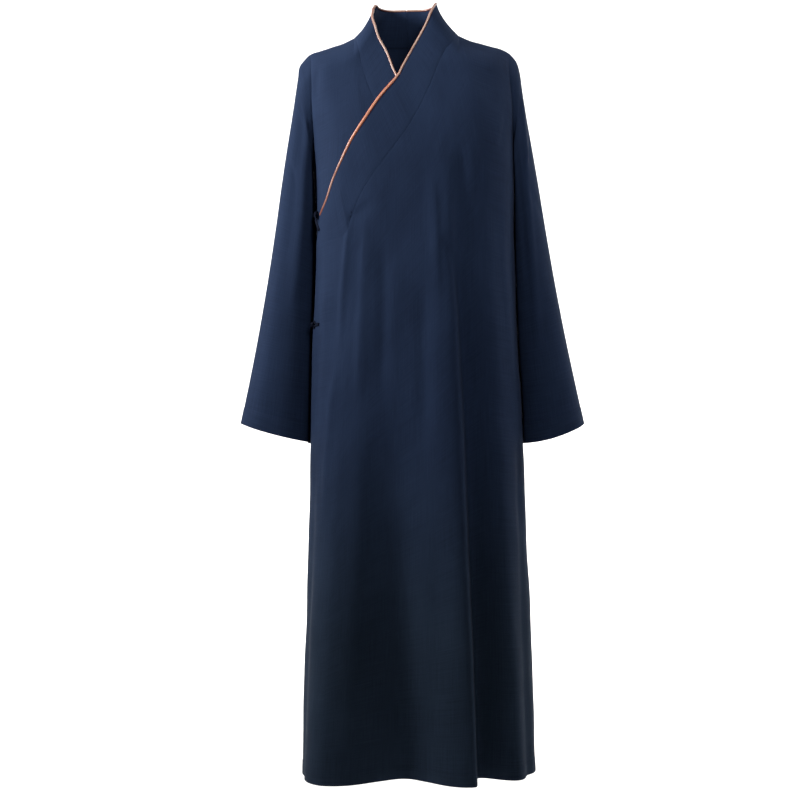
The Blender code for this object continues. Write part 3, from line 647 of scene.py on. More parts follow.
def panel(side, back, free_edge, top_line, step, hem=HEM_HEIGHT, lift_of=no_lap):
    """A body panel's grid: rows from the hem up, columns from the free edge or centre back on."""
    top_x = outline(side * ARMHOLE_ANGLE, 0.0)[..., 0]
    top = float(shoulder_height(top_x))
    neck_x = SHOULDER_CENTRE + side * NECK_HALF_WIDTH
    neck_angle = abs(float(angle_at(neck_x, SHOULDER[0][1])))

    def start_angle(height):
        return side * table_at(free_edge, height)[..., 0]

    start = float(start_angle(top))
    neck = 180.0 - neck_angle if back else neck_angle
    end_top = 180.0 - ARMHOLE_ANGLE if back else ARMHOLE_ANGLE
    neck_share = (neck - start) / (end_top - start)
    outward = 1.0 if back else -1.0

    def column_angle(share, height):
        rise, scoop = armhole_turn(height, top)
        edge = 90.0 + outward * (90.0 - ARMHOLE_ANGLE) * rise
        near_armhole = np.maximum(share - neck_share, 0.0) / (1.0 - neck_share)
        free = start_angle(height)
        return free + (edge - free) * share + outward * scoop * near_armhole

    def column_top(share):
        height = np.zeros(share.shape)
        for _ in range(SETTLE_TURNS):
            x = outline(side * column_angle(share, height), height)[..., 0]
            height = np.where(share < neck_share, top_line(x), shoulder_height(x))
        return height

    fine = np.linspace(0.0, 1.0, SEAM_STEPS)
    fine_top = column_top(fine)
    line = skin(side * column_angle(fine, fine_top), fine_top)
    lengths = length_along(line)
    shares = np.interp(edge_spaced(lengths[-1], step) * lengths[-1], lengths, fine)
    shares = np.sort(np.append(shares, neck_share))
    neck_column = int(np.argmin(np.abs(shares - neck_share)))
    tops = column_top(shares)
    full = top - UNDERARM_HEIGHT
    rise = (1.0 - np.cos(np.pi * np.arange(ARMHOLE_ROWS + 1) / ARMHOLE_ROWS)) / 2.0
    armhole = UNDERARM_HEIGHT + full * rise - top
    steps = np.array(HEM_STEPS)
    skirt_length = UNDERARM_HEIGHT - hem
    down = np.concatenate([steps[:-1], np.linspace(steps[-1], skirt_length, SKIRT_ROWS)])[:-1] / skirt_length
    skirt = hem + ((tops - full) - hem)[None, :] * down[:, None]
    heights = np.concatenate([skirt, tops[None, :] + armhole[:, None]], axis=0)
    angles = side * column_angle(shares[None, :], heights)
    points = skin(angles, heights, lift_of(angles, heights) + hem_relief(heights - hem))
    return points, len(down), neck_column


def turn_in(points, facing, edges, ring=False):
    """The seams pull the cloth in: points near the named edges sink, most of all at the edge."""
    result = points
    for edge in edges:
        if edge in ("first column", "last column"):
            place = 0 if edge == "first column" else -1
            gap = np.linalg.norm(points - points[:, [place]], axis=-1)
        else:
            place = 0 if edge == "first row" else -1
            gap = np.linalg.norm(points - points[[place]], axis=-1)
        near = np.exp(-((gap / SEAM_REACH) ** 2))
        if edge == "last row":
            seen = soft_step((points[[-1], :, 2] - SEAM_FADE_LOW) / (SEAM_FADE_HIGH - SEAM_FADE_LOW))
            near = near * NECK_SEAM_SHARE * seen
        result = result - facing * (SEAM_DIP * near)[..., None]
    return result


def outward_of(points):
    """The outward side of a body panel: away from the coat's upright axis."""
    return unit((points - np.array([BODY_AXIS_X, 0.0, 0.0])) * np.array([1.0, 1.0, 0.0]))


def body_normals(points):
    normal = grid_normals(points)
    turned = np.sign((normal * outward_of(points)).sum(axis=-1).mean())
    return normal * turned


def back_neck_line(x):
    """The collar seam at the back: lowest at the centre."""
    out = np.abs(x - SHOULDER_CENTRE) / NECK_HALF_WIDTH
    return BACK_NECK_HEIGHT + SHOULDER_TILT * x + BACK_NECK_RISE * out**3


panels = {}


def sew_panel(name, edges, flat, area, *cut):
    """Cuts a body panel and sews it: a shell of cloth with turned-in seams and a stitched hem."""
    panels[name] = panel(*cut)
    grid = panels[name][0]
    facing = body_normals(grid)
    sewn = turn_in(grid, facing, edges)
    piece = sew_cloth(name + "_cloth", sewn, facing, CLOTH, CLOTH_LOOK)
    stand_for(piece, "navy_cloth", f"{name}_top", f"{name}_middle", f"{name}_skirt")
    row = HEM_STITCH_ROW
    sew_row(name + "_hem_stitches", sewn[row], facing[row], THREAD_LOOK, *HEM_SEWING)


BACK_SEAMS = ("first column", "last column", "last row")
BACK_STEP = 0.0046
for name, side in (("back_left", 1), ("back_right", -1)):
    centre = ((0.0, side * 180.0),)
    sew_panel(name, BACK_SEAMS, (0.31, 1.34), 0.345, side, True, centre, back_neck_line, BACK_STEP)


# The two fronts. The wearer's left front crosses over the right one and is held at the side; its
# free edge is turned in and falls straight to the hem, and the right front lies under it.
OUTER_FREE_EDGE = ((-0.3, -75.0), (-0.7, -79.0), (-1.283, -83.0))
INNER_FREE_EDGE = ((-0.25, 31.0), (-0.5, 16.0), (-1.283, 6.0))

# The seams of the outer and inner collars and their free edges, seen from the front: x, height
OUTER_SEAM = (
    (0.0905, 0.0275),
    (0.076, 0.006),
    (0.0596, -0.017),
    (0.0343, -0.0817),
    (0.0047, -0.1421),
    (-0.0265, -0.188),
    (-0.0557, -0.2271),
    (-0.0747, -0.2564),
    (-0.0886, -0.2835),
    (-0.0985, -0.311),
    (-0.113, -0.34),
    (-0.2, -0.362),
)
INNER_SEAM = (
    (-0.096, 0.0245),
    (-0.088, -0.004),
    (-0.079, -0.045),
    (-0.066, -0.085),
    (-0.042, -0.138),
    (-0.01, -0.19),
    (0.03, -0.245),
    (0.12, -0.335),
)
LINE_STEPS = 160


def smooth_line(rows):
    """A smooth line through table rows, as an array of points."""
    keyed = [(float(i), *row) for i, row in enumerate(rows)]
    return table_at(keyed, np.linspace(0.0, len(rows) - 1.0, LINE_STEPS))


def neck_line(rows):
    """The height of a collar seam at each x."""
    line = smooth_line(rows)
    order = np.argsort(line[:, 0])

    def height_at(x):
        return np.interp(x, line[order, 0], line[order, 1])

    return height_at


FRONT_SEAMS = ("last column", "last row")
OUTER_STEP = 0.0044
INNER_STEP = 0.0056
outer_cut = (1, False, OUTER_FREE_EDGE, neck_line(OUTER_SEAM), OUTER_STEP, HEM_HEIGHT, lap)
sew_panel("front_outer", FRONT_SEAMS, (0.6, 1.34), 0.6, *outer_cut)
inner_hem = HEM_HEIGHT + INNER_HEM_RISE
inner_cut = (-1, False, INNER_FREE_EDGE, neck_line(INNER_SEAM), INNER_STEP, inner_hem)
sew_panel("front_inner", FRONT_SEAMS, (0.4, 1.33), 0.37, *inner_cut)


# The sleeves. Each is one straight wide piece, sewn into the armhole and along one seam under the
# arm; it hangs flat beside the body and its cuff is turned up and stitched.
SLEEVE_CLEARANCE = 0.0024
SEAM_CLEARANCE = 0.0016
CLEARED_STATION = 2.0
SLEEVE_START_SHARE = 0.2
SLEEVE_CENTRED_SHARE = 0.5
SLEEVE_TUCK = 0.01
SLEEVE_EASE_STATIONS = 0.8
SLEEVE_ROWS = 150
SLEEVE_ROW_GROWTH = 1.15
MAIN_RINGS = 12
SLEEVE_LENGTH = 0.66

# outer x, outer height, inner height, half depth, extra reach of the left sleeve
SLEEVE = (
    (0.1905, -0.0125, -0.217, 0.046, 0.003),
    (0.1965, -0.038, -0.221, 0.047, 0.003),
    (0.202, -0.075, -0.227, 0.048, 0.003),
    (0.208, -0.115, -0.237, 0.049, 0.0035),
    (0.218, -0.176, -0.262, 0.052, 0.005),
    (0.23, -0.256, -0.315, 0.055, 0.0075),
    (0.244, -0.356, -0.4, 0.057, 0.0105),
    (0.2625, -0.47, -0.5, 0.058, 0.013),
    (0.281, -0.57, -0.595, 0.059, 0.0155),
    (0.301, -0.667, -0.703, 0.059, 0.017),
)
# side, centre y at the cuff, extra half depth at the cuff, droop of the cuff's front and back
SLEEVE_SIDES = {"sleeve_left": (1, 0.02, 0.004, 0.008), "sleeve_right": (-1, 0.01, 0.0, 0.003)}

# Creases of a sleeve: turn round it at the start and the end (0 at the outer fold, a quarter at
# the front), share of its length at the start and the end, depth, width on each side in metres
SLEEVE_CREASES = {
    "sleeve_left": (
        (0.11, 0.19, 0.16, 0.52, 0.0038, 0.006, 0.01),
        (0.2, 0.27, 0.46, 0.86, 0.0034, 0.007, 0.011),
        (0.31, 0.3, 0.2, 0.8, -0.0034, 0.01, 0.014),
        (0.06, 0.2, 0.4, 0.47, -0.0014, 0.008, 0.012),
        (0.22, 0.07, 0.52, 0.6, -0.0012, 0.008, 0.013),
        (0.62, 0.66, 0.12, 0.7, -0.0026, 0.012, 0.015),
        (0.78, 0.76, 0.2, 0.9, 0.0024, 0.013, 0.013),
        (0.88, 0.9, 0.3, 1.02, -0.0024, 0.012, 0.014),
        (0.13, 0.12, 0.7, 1.02, 0.002, 0.012, 0.012),
    ),
    "sleeve_right": (
        (0.12, 0.1, 0.1, 0.7, 0.0022, 0.011, 0.014),
        (0.21, 0.19, 0.14, 0.8, -0.0028, 0.013, 0.012),
        (0.3, 0.27, 0.4, 0.78, 0.002, 0.011, 0.013),
        (0.08, 0.21, 0.44, 0.5, -0.0014, 0.009, 0.012),
        (0.6, 0.63, 0.12, 0.66, -0.0024, 0.012, 0.014),
        (0.76, 0.79, 0.18, 0.86, 0.0022, 0.012, 0.014),
        (0.9, 0.87, 0.34, 1.02, -0.0026, 0.013, 0.013),
        (0.15, 0.16, 0.66, 1.02, 0.002, 0.012, 0.013),
    ),
}
SLEEVE_ROUND = 0.26
SLANTING_TURN = 0.1
SLANTING_LENGTH = 0.65
TURN_FADE = 0.04
SLEEVE_CREASE_FADE = 0.25
SLEEVE_CREASE_START = 0.03
OUTER_HALF = (0.45, 0.5)


def body_side(height, y, side):
    """How far out the coat's side is at heights and depths."""
    row = table_at(SECTIONS, height)
    centre_x, centre_y, half_width, front, back, square = np.moveaxis(row, -1, 0)
    depth = np.where(y < centre_y, front, back)
    share = np.minimum(np.abs(y - centre_y) / depth, 1.0)
    sine = np.maximum(1.0 - share**square, 0.0) ** (1.0 / square)
    angle = np.degrees(np.arcsin(np.clip(sine, 0.0, 1.0)))
    angle = side * np.where(y > centre_y, 180.0 - angle, angle)
    stand_off = relief(angle, height) + lap(angle, height) * (y < centre_y)
    return side * centre_x + half_width * sine + stand_off


def sleeve_rings(name, at, count):
    """Rings of points of a sleeve at stations, before they are kept clear of the coat's side."""
    side, centre_y, fuller, droop = SLEEVE_SIDES[name]
    stations = [(float(i), *row) for i, row in enumerate(SLEEVE)]
    outer_x, outer_z, inner_z, half_depth, extra = np.moveaxis(table_at(stations, at), -1, 0)
    share = at / (len(SLEEVE) - 1)
    outer_x = outer_x + extra * (side > 0)
    outer_z = outer_z + SHOULDER_TILT * side * outer_x * (1.0 - share)
    middle_y = centre_y * soft_step((share - SLEEVE_START_SHARE) / SLEEVE_CENTRED_SHARE)
    inner_x = body_side(inner_z, middle_y, side) - SLEEVE_TUCK * soft_step(share / SLEEVE_START_SHARE)
    half = half_depth + fuller * share
    turn = math.tau * np.arange(count)[None, :] / count
    mix = (1.0 + np.cos(turn)) / 2.0
    x = inner_x[:, None] + (outer_x - inner_x)[:, None] * mix
    z = inner_z[:, None] + (outer_z - inner_z)[:, None] * mix
    z = z - droop * (share**3)[:, None] * np.sin(turn) ** 2
    y = middle_y[:, None] - half[:, None] * np.sin(turn)
    return np.stack([side * x, y, z], axis=-1)


def armhole_ring(front, back):
    """The armhole's edge: from the shoulder down the front and up the back."""
    front_grid, front_row, _ = front
    back_grid, back_row, _ = back
    down = front_grid[front_row + 1:, -1][::-1]
    up = back_grid[back_row:-1, -1]
    return np.concatenate([down, up])


def sleeve_crease_depth(name, turn, share):
    total = np.zeros(np.broadcast(turn, share).shape)
    for turn_0, turn_1, share_0, share_1, depth, width_low, width_high in SLEEVE_CREASES[name]:
        down = (share - share_0) / (share_1 - share_0)
        centre = turn_0 + (turn_1 - turn_0) * np.clip(down, 0.0, 1.0)
        if abs(turn_1 - turn_0) > SLANTING_TURN:
            round_share = np.clip((turn - turn_0) / (turn_1 - turn_0), 0.0, 1.0)
            away = (share - share_0 - (share_1 - share_0) * round_share) * SLANTING_LENGTH
            low, high = sorted((turn_0, turn_1))
            fade = soft_step((turn - low) / TURN_FADE) * soft_step((high - turn) / TURN_FADE)
        else:
            away = ((turn - centre + 0.5) % 1.0 - 0.5) * SLEEVE_ROUND
            fade = soft_step(down / SLEEVE_CREASE_FADE)
            if share_1 < 1.0:
                fade = fade * soft_step((1.0 - down) / SLEEVE_CREASE_FADE)
        width = np.where(away < 0, width_low, width_high)
        total = total + depth * fade * np.exp(-((away / width) ** 2))
    return total


for name, front, back in (
    ("sleeve_left", "front_outer", "back_left"),
    ("sleeve_right", "front_inner", "back_right"),
):
    side = SLEEVE_SIDES[name][0]
    ring = armhole_ring(panels[front], panels[back])
    count = len(ring)
    last = len(SLEEVE) - 1
    steps = np.array(HEM_STEPS)[::-1] / SLEEVE_LENGTH
    share = np.linspace(0.0, 1.0, SLEEVE_ROWS)[1:] ** SLEEVE_ROW_GROWTH * (1.0 - steps[0])
    share = np.concatenate([share, 1.0 - steps[1:]])
    at = (np.arange(1, MAIN_RINGS + 1) / MAIN_RINGS) ** SLEEVE_ROW_GROWTH * last
    rings = sleeve_rings(name, at, count)
    start = sleeve_rings(name, np.zeros(1), count)
    from_edge = 1.0 - soft_step(at / SLEEVE_EASE_STATIONS)
    rings = rings + (ring[None] - start) * from_edge[:, None, None]
    clearance = SEAM_CLEARANCE + (SLEEVE_CLEARANCE - SEAM_CLEARANCE) * soft_step(at / CLEARED_STATION)
    least = body_side(rings[..., 2], rings[..., 1], side) + clearance[:, None]
    rings[..., 0] = side * np.maximum(side * rings[..., 0], least)
    main_rings = [(0.0, *ring.ravel())] + [(key, *row.ravel()) for key, row in zip(at, rings)]
    rings = table_at(main_rings, share * last).reshape(len(share), count, 3)
    grid = np.concatenate([ring[None], rings])
    facing = grid_normals(grid, ring=True) * -side
    middle = grid.mean(axis=1, keepdims=True)
    if ((grid - middle) * facing).sum(axis=-1).mean() < 0:
        facing = -facing
    turn = np.arange(count)[None, :] / count
    shares = np.concatenate([[0.0], share])[:, None]
    outer_half = soft_step((np.cos(math.tau * turn) + OUTER_HALF[0]) / OUTER_HALF[1])
    creased = sleeve_crease_depth(name, turn, shares) * outer_half
    raised = creased + hem_relief((1.0 - shares) * SLEEVE_LENGTH)
    raised = raised * soft_step(shares / SLEEVE_CREASE_START)
    grid = grid + facing * raised[..., None]
    sewn = turn_in(grid, facing, ("first row",))
    piece = sew_cloth(name + "_cloth", sewn, facing, CLOTH, CLOTH_LOOK, ring=True)
    stand_for(piece, "navy_cloth", f"{name}_top", f"{name}_lower")
    cuff_row = -1 - HEM_STITCH_ROW
    sew_row(name + "_cuff_stitches", grid[cuff_row], facing[cuff_row], THREAD_LOOK, *HEM_SEWING)


# The collar bands. Each is a doubled strip of the same cloth, folded at its free edge and sewn to
# the neck and to a front; the outer band runs down to the closure at the wearer's right side.
COLLAR_CLOTH = 0.002
COLLAR_HOLLOW = 0.006
COLLAR_ROWS = 22
COLLAR_EDGE_SHARES = (0.0, 0.004, 0.012)
COLLAR_MIDDLE_SHARE = 0.03
BACK_EDGE_STEPS = 40
COLLAR_HOLLOW_FADE = 0.05
BACK_EDGE_HEIGHT = 0.082
NECK_CENTRE_Y = 0.01
COLLAR_PAD = 0.0004

# The free edges of both bands, seen from the front: x, height
OUTER_EDGE = (
    (0.0515, 0.083),
    (0.0406, 0.058),
    (0.0316, 0.0364),
    (0.0138, 0.0018),
    (-0.0074, -0.04),
    (-0.0179, -0.061),
    (-0.0492, -0.1),
    (-0.075, -0.1396),
    (-0.0975, -0.1749),
    (-0.1148, -0.2095),
    (-0.1306, -0.2436),
    (-0.142, -0.276),
    (-0.1545, -0.302),
)
INNER_EDGE = (
    (-0.0605, 0.081),
    (-0.0659, 0.058),
    (-0.0604, 0.0364),
    (-0.0532, 0.0132),
    (-0.039, -0.0153),
    (-0.0231, -0.0571),
    (0.012, -0.12),
    (0.045, -0.168),
    (0.085, -0.222),
    (0.112, -0.266),
)


def surface_points(x, height, back, lift):
    """The points of the coat's form that are seen at an x and a height from before or behind."""
    angle = angle_at(x, height, not back)
    point = skin(angle, height, lift)
    for _ in range(SETTLE_TURNS):
        angle = angle_at(outline(angle, height)[..., 0] + x - point[..., 0], height, not back)
        point = skin(angle, height, lift)
    return np.stack([x, point[..., 1], height], axis=-1)


def from_neck(points):
    """Level directions away from the middle of the neck."""
    return unit((points - np.array([SHOULDER_CENTRE, NECK_CENTRE_Y, 0.0])) * np.array([1.0, 1.0, 0.0]))


def spaced_as(line, model):
    """The points of a line, spaced as those of another line are."""
    lengths = length_along(line)
    model_lengths = length_along(model)
    return points_at(line, lengths, model_lengths / model_lengths[-1] * lengths[-1])


def collar(front, back, edge_rows, lift_of):
    """The grid of a collar band: rows from its seam to its free edge, columns from the centre back."""
    front_grid, _, front_neck = front
    back_grid, _, back_neck = back
    seam_back = back_grid[-1, :back_neck]
    seam_front = front_grid[-1, : front_neck + 1][::-1]
    seam = np.concatenate([seam_back, seam_front])
    tip_x, tip_height = edge_rows[0]
    share = np.linspace(0.0, 1.0, BACK_EDGE_STEPS)
    edge_back = surface_points(
        SHOULDER_CENTRE + (tip_x - SHOULDER_CENTRE) * share,
        BACK_EDGE_HEIGHT + (tip_height - BACK_EDGE_HEIGHT) * share,
        True,
        0.0,
    )
    line = smooth_line(edge_rows)
    edge_front = surface_points(line[:, 0], line[:, 1], False, lift_of(0.0, line[:, 1]))
    whole_back = np.concatenate([seam_back, seam_front[:1]])
    edge = np.concatenate([spaced_as(edge_back, whole_back)[:-1], spaced_as(edge_front, seam_front)])
    along = length_along(seam)
    neck_length = along[len(seam_back)]
    rows = []
    ends = np.array(COLLAR_EDGE_SHARES)
    middle = np.linspace(COLLAR_MIDDLE_SHARE, 1.0 - COLLAR_MIDDLE_SHARE, COLLAR_ROWS)
    across = np.concatenate([ends, middle, 1.0 - ends[::-1]])
    for share in across:
        points = seam + (edge - seam) * share
        on_form = surface_points(points[:, 0], points[:, 2], False, lift_of(0.0, points[:, 2]))
        lower = on_form[:, 1] < points[:, 1]
        chest = (np.arange(len(seam)) > len(seam_back)) & lower & (0.0 < share < 1.0)
        points[chest] = on_form[chest]
        hollow = COLLAR_HOLLOW * 4.0 * share * (1.0 - share)
        hollow = hollow * soft_step((neck_length + COLLAR_HOLLOW_FADE - along) / COLLAR_HOLLOW_FADE)
        rows.append(points - from_neck(points) * hollow[:, None])
    grid = np.array(rows)
    facing = grid_normals(grid)
    if (facing * from_neck(grid)).sum(axis=-1).mean() < 0:
        facing = -facing
    pad = COLLAR_PAD * (1.0 - np.abs(2.0 * across - 1.0) ** 6)
    return grid + facing * pad[:, None, None], facing


bands = {}
for name, front, back, rows, lift_of in (
    ("collar_outer", "front_outer", "back_left", OUTER_EDGE, lap),
    ("collar_inner", "front_inner", "back_right", INNER_EDGE, no_lap),
):
    grid, facing = collar(panels[front], panels[back], rows, lift_of)
    bands[name] = (grid, facing)
    sewn = turn_in(grid, facing, ("first column",))
    piece = sew_cloth(name + "_band", sewn, facing, COLLAR_CLOTH, CLOTH_LOOK)
    stand_for(piece, "navy_cloth", name)

# The few slanting stitches that show where the outer collar's seam ends on the front
TACK_ANGLES = np.array([-37.4, -38.6, -39.8, -40.8])
TACK_HEIGHTS = np.array([-0.291, -0.302, -0.313, -0.323])
TACK_WAY = (-0.55, -0.83, 0.0)
TACK_LIFT = 0.0004
TACK_SEWING = (0.0075, 0.005, 0.0006)
tack_out = np.tile(TACK_WAY, (len(TACK_ANGLES), 1))
tacks = skin(TACK_ANGLES, TACK_HEIGHTS, lap(TACK_ANGLES, TACK_HEIGHTS)) + tack_out * TACK_LIFT
sew_row("collar_tack_stitches", tacks, tack_out, THREAD_LOOK, *TACK_SEWING)


# The piping. A strip of orange satin rolled round a cord and caught in the collar's folded edge;
# it runs round the neck and down both bands.
PIPING_RADIUS = 0.0023
PIPING_SIDES = 14
PIPING_FULLER = 0.28
PIPING_WOBBLE = 0.03
PIPING_STEP = 0.0022
# the way the cord's painted highlight faces: to the front and a little up
PAINTED_LIGHT_WAY = (0.0, -0.95, 0.31)
CORD_SIDE_WAY = (0.3, -0.9, 0.31)
CORD_END_SHARE = 0.72
WOBBLE_WAVES = (700.0, 233.0)
THREAD_SIZE = 0.00055
THREAD_SLANT = 38.0
# colours of the cord's sides, slope and top: painted shade on the sides and a painted highlight on the top;
# where it is orange, and where painted reflection and highlight make it paler
ORANGE_PAINTED_LIGHT = ((0.13, 0.014, 0.008, 1.0), (0.4, 0.08, 0.03, 1.0), (0.56, 0.24, 0.14, 1.0))
PALE_PAINTED_LIGHT = ((0.1, 0.016, 0.012, 1.0), (0.27, 0.105, 0.07, 1.0), (0.44, 0.3, 0.24, 1.0))
SHADE_PLACES = (0.48, 0.78, 0.98)
# where the piping is painted paler: a painted reflection round the neck above the crossing, a painted
# highlight again towards its lower end
CROSSING_HEIGHT = -0.078
CROSSING_SPAN = 0.03
LOWER_PALE_HEIGHT = -0.15
LOWER_PALE_SPAN = 0.09
LOWER_PALE_SHARE = 0.8
# the places of a mix node's two colours and of its result
FIRST, SECOND, RESULT = 6, 7, 2


def satin(name):
    """Bias-cut satin: fine slanting threads, a soft gloss, slight unevenness of dye and tension, with
    painted shade on the cord's sides, a painted highlight along its top, and paler painted reflection and
    highlight where the piping is marked for them.
    """
    look = Nodes(name)
    grain = look.grain_point()
    slant = {"Vector": grain, "Rotation": (0.0, 0.0, math.radians(THREAD_SLANT))}
    threads = look.waves(look.add("ShaderNodeMapping", slant).outputs["Vector"], THREAD_SIZE, "X")
    pulls = look.noise(look.grain_point(160.0, 900.0), 1.0, 2.0, 0.5)
    patches = look.noise(grain, 40.0, 2.0, 0.5)
    uneven = look.maths("MULTIPLY", look.maths("ADD", pulls, patches), 0.22)
    # painted light: the cord's top lighter as a painted highlight and its sides darker as painted shade,
    # with the satin's own unevenness
    height = look.maths("ADD", look.maths("MULTIPLY", look.measured("painted_light"), 0.78), uneven)
    orange = look.ramp(height, tuple(zip(SHADE_PLACES, ORANGE_PAINTED_LIGHT)))
    painted_pale = look.ramp(height, tuple(zip(SHADE_PLACES, PALE_PAINTED_LIGHT)))
    # the paler colours mixed in where the piping is marked for painted reflection and highlight
    colour_mix = {"Factor": look.measured("painted_pale"), FIRST: orange, SECOND: painted_pale}
    coloured = look.add("ShaderNodeMix", colour_mix, data_type="RGBA")
    soft = look.bump(patches, 0.25, 0.0008)
    look.feed(look.shader, {
        "Base Color": coloured.outputs[RESULT],
        "Roughness": look.maths("ADD", look.maths("MULTIPLY", pulls, 0.18), 0.26),
        "Normal": look.bump(threads, 0.35, 0.00012, soft),
        "Specular IOR Level": 0.62,
        "Sheen Weight": 0.3,
        "Sheen Roughness": 0.35,
        "Sheen Tint": (1.0, 0.72, 0.6, 1.0),
    })
    return look.material


SATIN_LOOK = satin("orange_satin")


def round_cord(name, line, radius, sides, material, wobble=0.0, fuller=0.0):
    """A cord of round section along a line of points, closed at both ends."""
    run = unit(np.gradient(line, axis=0))
    across = unit(np.cross(run, np.array(CORD_SIDE_WAY)))
    other = np.cross(run, across)
    turn = math.tau * np.arange(sides) / sides
    along = length_along(line)
    fast, slow = WOBBLE_WAVES
    swell = 1.0 + wobble * np.sin(along * fast) * np.sin(along * slow) + fuller
    swell[0] = swell[-1] = CORD_END_SHARE
    ring = np.cos(turn)[None, :, None] * across[:, None] + np.sin(turn)[None, :, None] * other[:, None]
    grid = line[:, None] + ring * (radius * swell)[:, None, None]
    index = np.arange(len(line) * sides).reshape(len(line), sides)
    cells = grid_cells(index, np.linspace(0.0, math.tau * radius, sides + 1), along)
    quads, grain = (np.roll(part[:, ::-1], 1, axis=1) for part in cells)
    faces = [tuple(q) for q in quads] + [tuple(index[0]), tuple(index[-1, ::-1])]
    made = plain_mesh(name, grid.reshape(-1, 3), faces)
    lay_grain(made, np.concatenate([grain.reshape(-1, 2), np.zeros((2 * sides, 2))]))
    # painted light: the side of the cord facing front and a little up is marked for a painted highlight, the
    # other sides for painted shade
    painted_light = np.clip(ring @ np.array(PAINTED_LIGHT_WAY), 0.0, 1.0)
    carried = made.data.attributes.new("painted_light", "FLOAT", "POINT")
    carried.data.foreach_set("value", painted_light.astype(np.float32).ravel())
    made.data.materials.append(material)
    return made


def painted_pale_at(height):
    """How pale the piping is painted: a painted reflection all round the neck, and a painted highlight again
    towards its lower end.
    """
    neck = soft_step((height - CROSSING_HEIGHT) / CROSSING_SPAN)
    return np.maximum(neck, LOWER_PALE_SHARE * soft_step((LOWER_PALE_HEIGHT - height) / LOWER_PALE_SPAN))


def along_edge(grid, facing, out, off, step):
    """A line of even steps beside a band's free edge: distances past it and off its face."""
    edge = grid[-1]
    past = edge - grid[-6]
    run = unit(np.gradient(edge, axis=0))
    past = unit(past - run * (past * run).sum(axis=-1, keepdims=True))
    line = edge + past * out + facing[-1] * off
    lengths = length_along(line)
    places = np.linspace(0.0, lengths[-1], int(lengths[-1] / step))
    return points_at(line, lengths, places)


for name, band in (("piping_outer", "collar_outer"), ("piping_inner", "collar_inner")):
    grid, facing = bands[band]
    line = along_edge(grid, facing, PIPING_RADIUS * 0.8, -COLLAR_CLOTH * 0.45, PIPING_STEP)
    # how pale the piping is painted along its line; the cord is fuller where it is least pale
    painted_pale = painted_pale_at(line[:, 2])
    fuller = PIPING_FULLER * (1.0 - painted_pale)
    piece = round_cord(name + "_satin", line, PIPING_RADIUS, PIPING_SIDES, SATIN_LOOK, PIPING_WOBBLE, fuller)
    carried = piece.data.attributes.new("painted_pale", "FLOAT", "POINT")
    carried.data.foreach_set("value", np.repeat(painted_pale, PIPING_SIDES).astype(np.float32))
    stand_for(piece, "orange_piping", name)


# The closures. A small knot button of rolled cloth cord, its loop, and the sewn tails of both,
# at the end of the collar and at the waist on the wearer's right side.
KNOT_RADIUS = 0.0048
KNOT_CORD = 0.0012
LOOP_CORD = 0.0013
KNOT_FLATNESS = 0.8
CLOSURE_SIDES = 8
LOOP_OPENING = 20.0
TAILS_CLOSER = 0.3
FACE_STEP = 0.004
# height and angle of a knot, length of its loop's tails, and how far they slant down, in degrees
KNOTS = {"upper": (-0.298, -76.5, 0.032, 52.0), "waist": (-0.492, -74.9, 0.016, 0.0)}
CORD_DARK = (0.003, 0.0045, 0.0115, 1.0)
CORD_NAVY = (0.0052, 0.0078, 0.019, 1.0)
CORD_WORN = (0.0095, 0.014, 0.032, 1.0)
CORD_LOOK = navy_cloth("navy_cord", CORD_DARK, CORD_NAVY, CORD_WORN)
FREE_EDGE_ANGLE = -75.6


def knot_line():
    """The route of a cord that is wound into a ball, like a small Turk's head."""
    t = np.linspace(0.0, math.tau, 180)
    around = 3.0 * t
    tilt = 0.95 * np.sin(4.0 * t)
    radius = 1.0 + 0.16 * np.cos(12.0 * t)
    x = radius * np.cos(tilt) * np.cos(around)
    y = radius * np.cos(tilt) * np.sin(around)
    z = radius * np.sin(tilt)
    return np.stack([x, y, z], axis=-1)


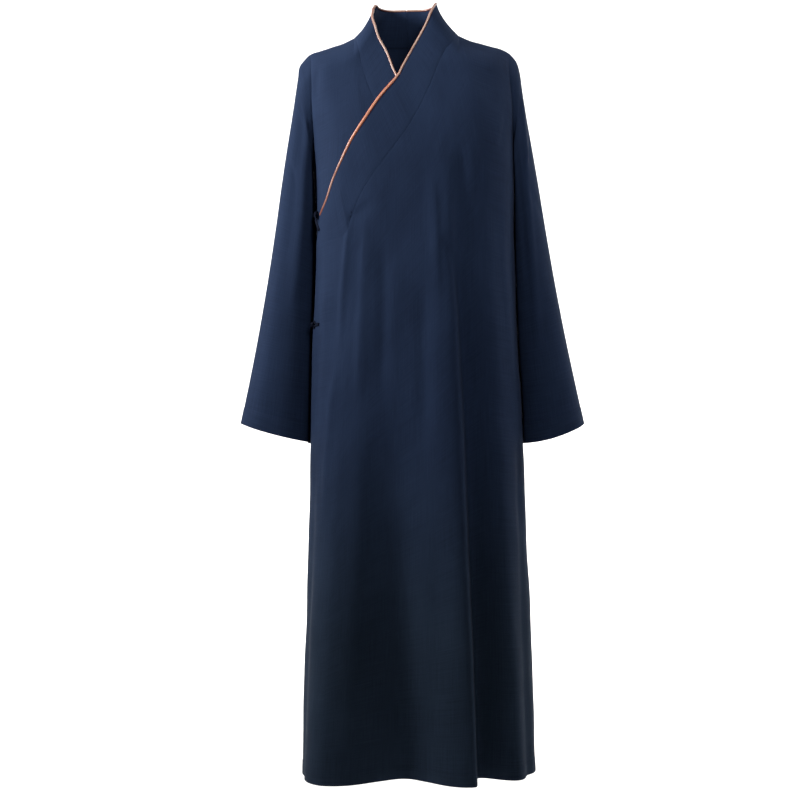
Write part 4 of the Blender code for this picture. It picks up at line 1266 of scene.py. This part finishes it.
def on_face(angle, height, flat):
    """Points given across, up and off the cloth from a place, laid on the coat's outermost face."""
    per_degree = np.linalg.norm(skin(angle + 1.0, height) - skin(angle - 1.0, height)) / 2.0
    angles = angle + flat[:, 0] / per_degree
    heights = height + flat[:, 1]
    lift = lap(angles, heights) * soft_step(angles - FREE_EDGE_ANGLE)
    run = skin(angles + 1.0, heights, lift) - skin(angles - 1.0, heights, lift)
    rise = skin(angles, heights + FACE_STEP, lift) - skin(angles, heights - FACE_STEP, lift)
    return skin(angles, heights, lift) + unit(np.cross(run, rise)) * flat[:, 2:]


for name, (height, angle, tail_length, slant) in KNOTS.items():
    ball = knot_line() * np.array([1.0, 1.0, KNOT_FLATNESS]) * (KNOT_RADIUS - KNOT_CORD)
    ball = on_face(angle, height, ball + np.array([0.0, 0.0, KNOT_RADIUS * KNOT_FLATNESS]))
    knot = round_cord(f"knot_{name}_cord", ball, KNOT_CORD, CLOSURE_SIDES, CORD_LOOK)
    stand_for(knot, "navy_cord", f"knot_{name}")
    turn = np.radians(np.linspace(LOOP_OPENING, 360.0 - LOOP_OPENING, 40))
    reach = KNOT_RADIUS + LOOP_CORD
    eye = np.stack([np.cos(turn) * reach, np.sin(turn) * reach, np.full(turn.shape, LOOP_CORD)], axis=-1)
    tail = np.linspace(0.0, 1.0, 20)[1:]
    ends = []
    for end in (eye[0], eye[-1]):
        x = end[0] + tail * tail_length
        y = end[1] * (1.0 - TAILS_CLOSER * tail)
        ends.append(np.stack([x, y, np.full(tail.shape, LOOP_CORD)], axis=-1))
    route = np.concatenate([ends[0][::-1], eye, ends[1]])
    lean = math.radians(-slant)
    across = route[:, 0] * math.cos(lean) - route[:, 1] * math.sin(lean)
    up = route[:, 0] * math.sin(lean) + route[:, 1] * math.cos(lean)
    route = on_face(angle, height, np.stack([across, up, route[:, 2]], axis=-1))
    loop = round_cord(f"loop_{name}_cord", route, LOOP_CORD, CLOSURE_SIDES, CORD_LOOK)
    stand_for(loop, "navy_cord", f"loop_{name}")
